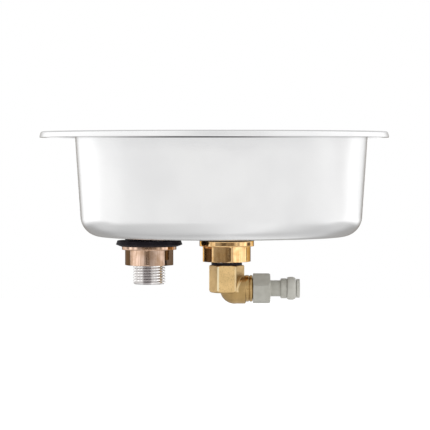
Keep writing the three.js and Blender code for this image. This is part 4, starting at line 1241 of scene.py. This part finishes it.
brightest = 3.0
room = levels(aside, 0, 180, [
    (0, 0.99), (70, 0.99), (86, 1.04), (98, 1.14), (112, 1.22), (122, 1.4), (150, 1.42), (154, 1.1),
    (161, 0.3), (180, 0.2),
])
horizon = levels(azimuth, -180, 180, [
    (-180, 0.1), (-160, 0.12), (-152, 1.25), (-124, 1.2), (-113, 1.1), (-104, 0.6), (-97, 0.4), (-86, 2.0),
    (-70, 0.8), (-57, 1.6), (-52, 1.1), (-46, 0.4), (-35, 0.42), (-20, 0.12), (-8, 0.08), (8, 0.14),
    (28, 0.22), (36, 0.8), (42, 1.3), (50, 0.5), (55, 0.8), (60, 1.8), (64, 1.8), (70, 1.3), (88, 2.2),
    (98, 0.3), (104, 0.06), (115, 0.06), (124, 1.3), (154, 0.8), (160, 0.12), (180, 0.1),
])
ground = levels(azimuth, -180, 180, [
    (-180, 0.88), (-172, 0.72), (-140, 0.55), (-110, 0.66), (-60, 0.74), (-20, 0.84), (10, 1.0), (45, 1.06),
    (70, 0.84), (110, 0.66), (150, 0.75), (168, 1.0), (180, 0.88),
])
sky = levels(azimuth, -180, 180, [
    (-180, 0.9), (-130, 1.3), (-90, 1.2), (-46, 1.12), (-30, 1.04), (-18, 0.95), (-6, 0.86), (6, 0.88),
    (20, 0.95), (32, 1.0), (48, 1.12), (90, 1.2), (130, 1.3), (180, 0.9),
])
near_horizon = between(elevation, -3.9, -1.5, 0.5)
balance = between(elevation, -16, -6.5, 1.5) * -0.1
above = elevation.step(2, 14)
below = elevation.step(-30, -14, 1, 0)
back_low = aside.step(98, 114) * between(elevation, -36, -11, 4)
back_level = aside.step(128, 150, 0.74, 0.42)
surround = room + (near_horizon + balance) * (horizon - room) + above * (sky - room) + below * (ground - room)
surround = surround + back_low * (back_level - surround)
overhead = (height + 0.65 * north).step(0.74, 0.9)
surround = surround + overhead * (0.66 - surround)
warmth = surround.step(0.05, 0.5, 1, 0)
camera_ray = direction.node("LightPath", {}, {}, "Is Camera Ray")
glossy_ray = direction.node("LightPath", {}, {}, "Is Glossy Ray")
diffuse_level = 0.72
level = camera_ray + (1 - camera_ray) * (glossy_ray * surround + (1 - glossy_ray) * diffuse_level)
tint = (glossy_ray * (1 - camera_ray) * warmth).blend((1, 1, 1, 1), (1.0, 0.74, 0.46, 1))
background = direction.node("Background", {}, {"Color": tint, "Strength": level})
direction.node("OutputWorld", {}, {"Surface": background})
bpy.context.scene.view_settings.view_transform = "Standard"


# Camera: nearly level with the rim, at the photograph's distance. It looks at the object's middle, so the
# frame needs no shift.
camera_distance = 1.485
camera_height = -10.7 * mm
aim = Vector((0.46 * mm, 0, -51.05 * mm))
photo_width = 430
focal_pixels = 2250
camera_data = bpy.data.cameras.new("camera")
camera_data.sensor_width = 36
camera_data.lens = camera_data.sensor_width * focal_pixels / photo_width
camera = bpy.data.objects.new("camera", camera_data)
camera.location = (aim.x, -camera_distance, camera_height)
camera.rotation_euler = (aim - camera.location).to_track_quat("-Z", "Y").to_euler()
bpy.context.scene.collection.objects.link(camera)
bpy.context.scene.camera = camera
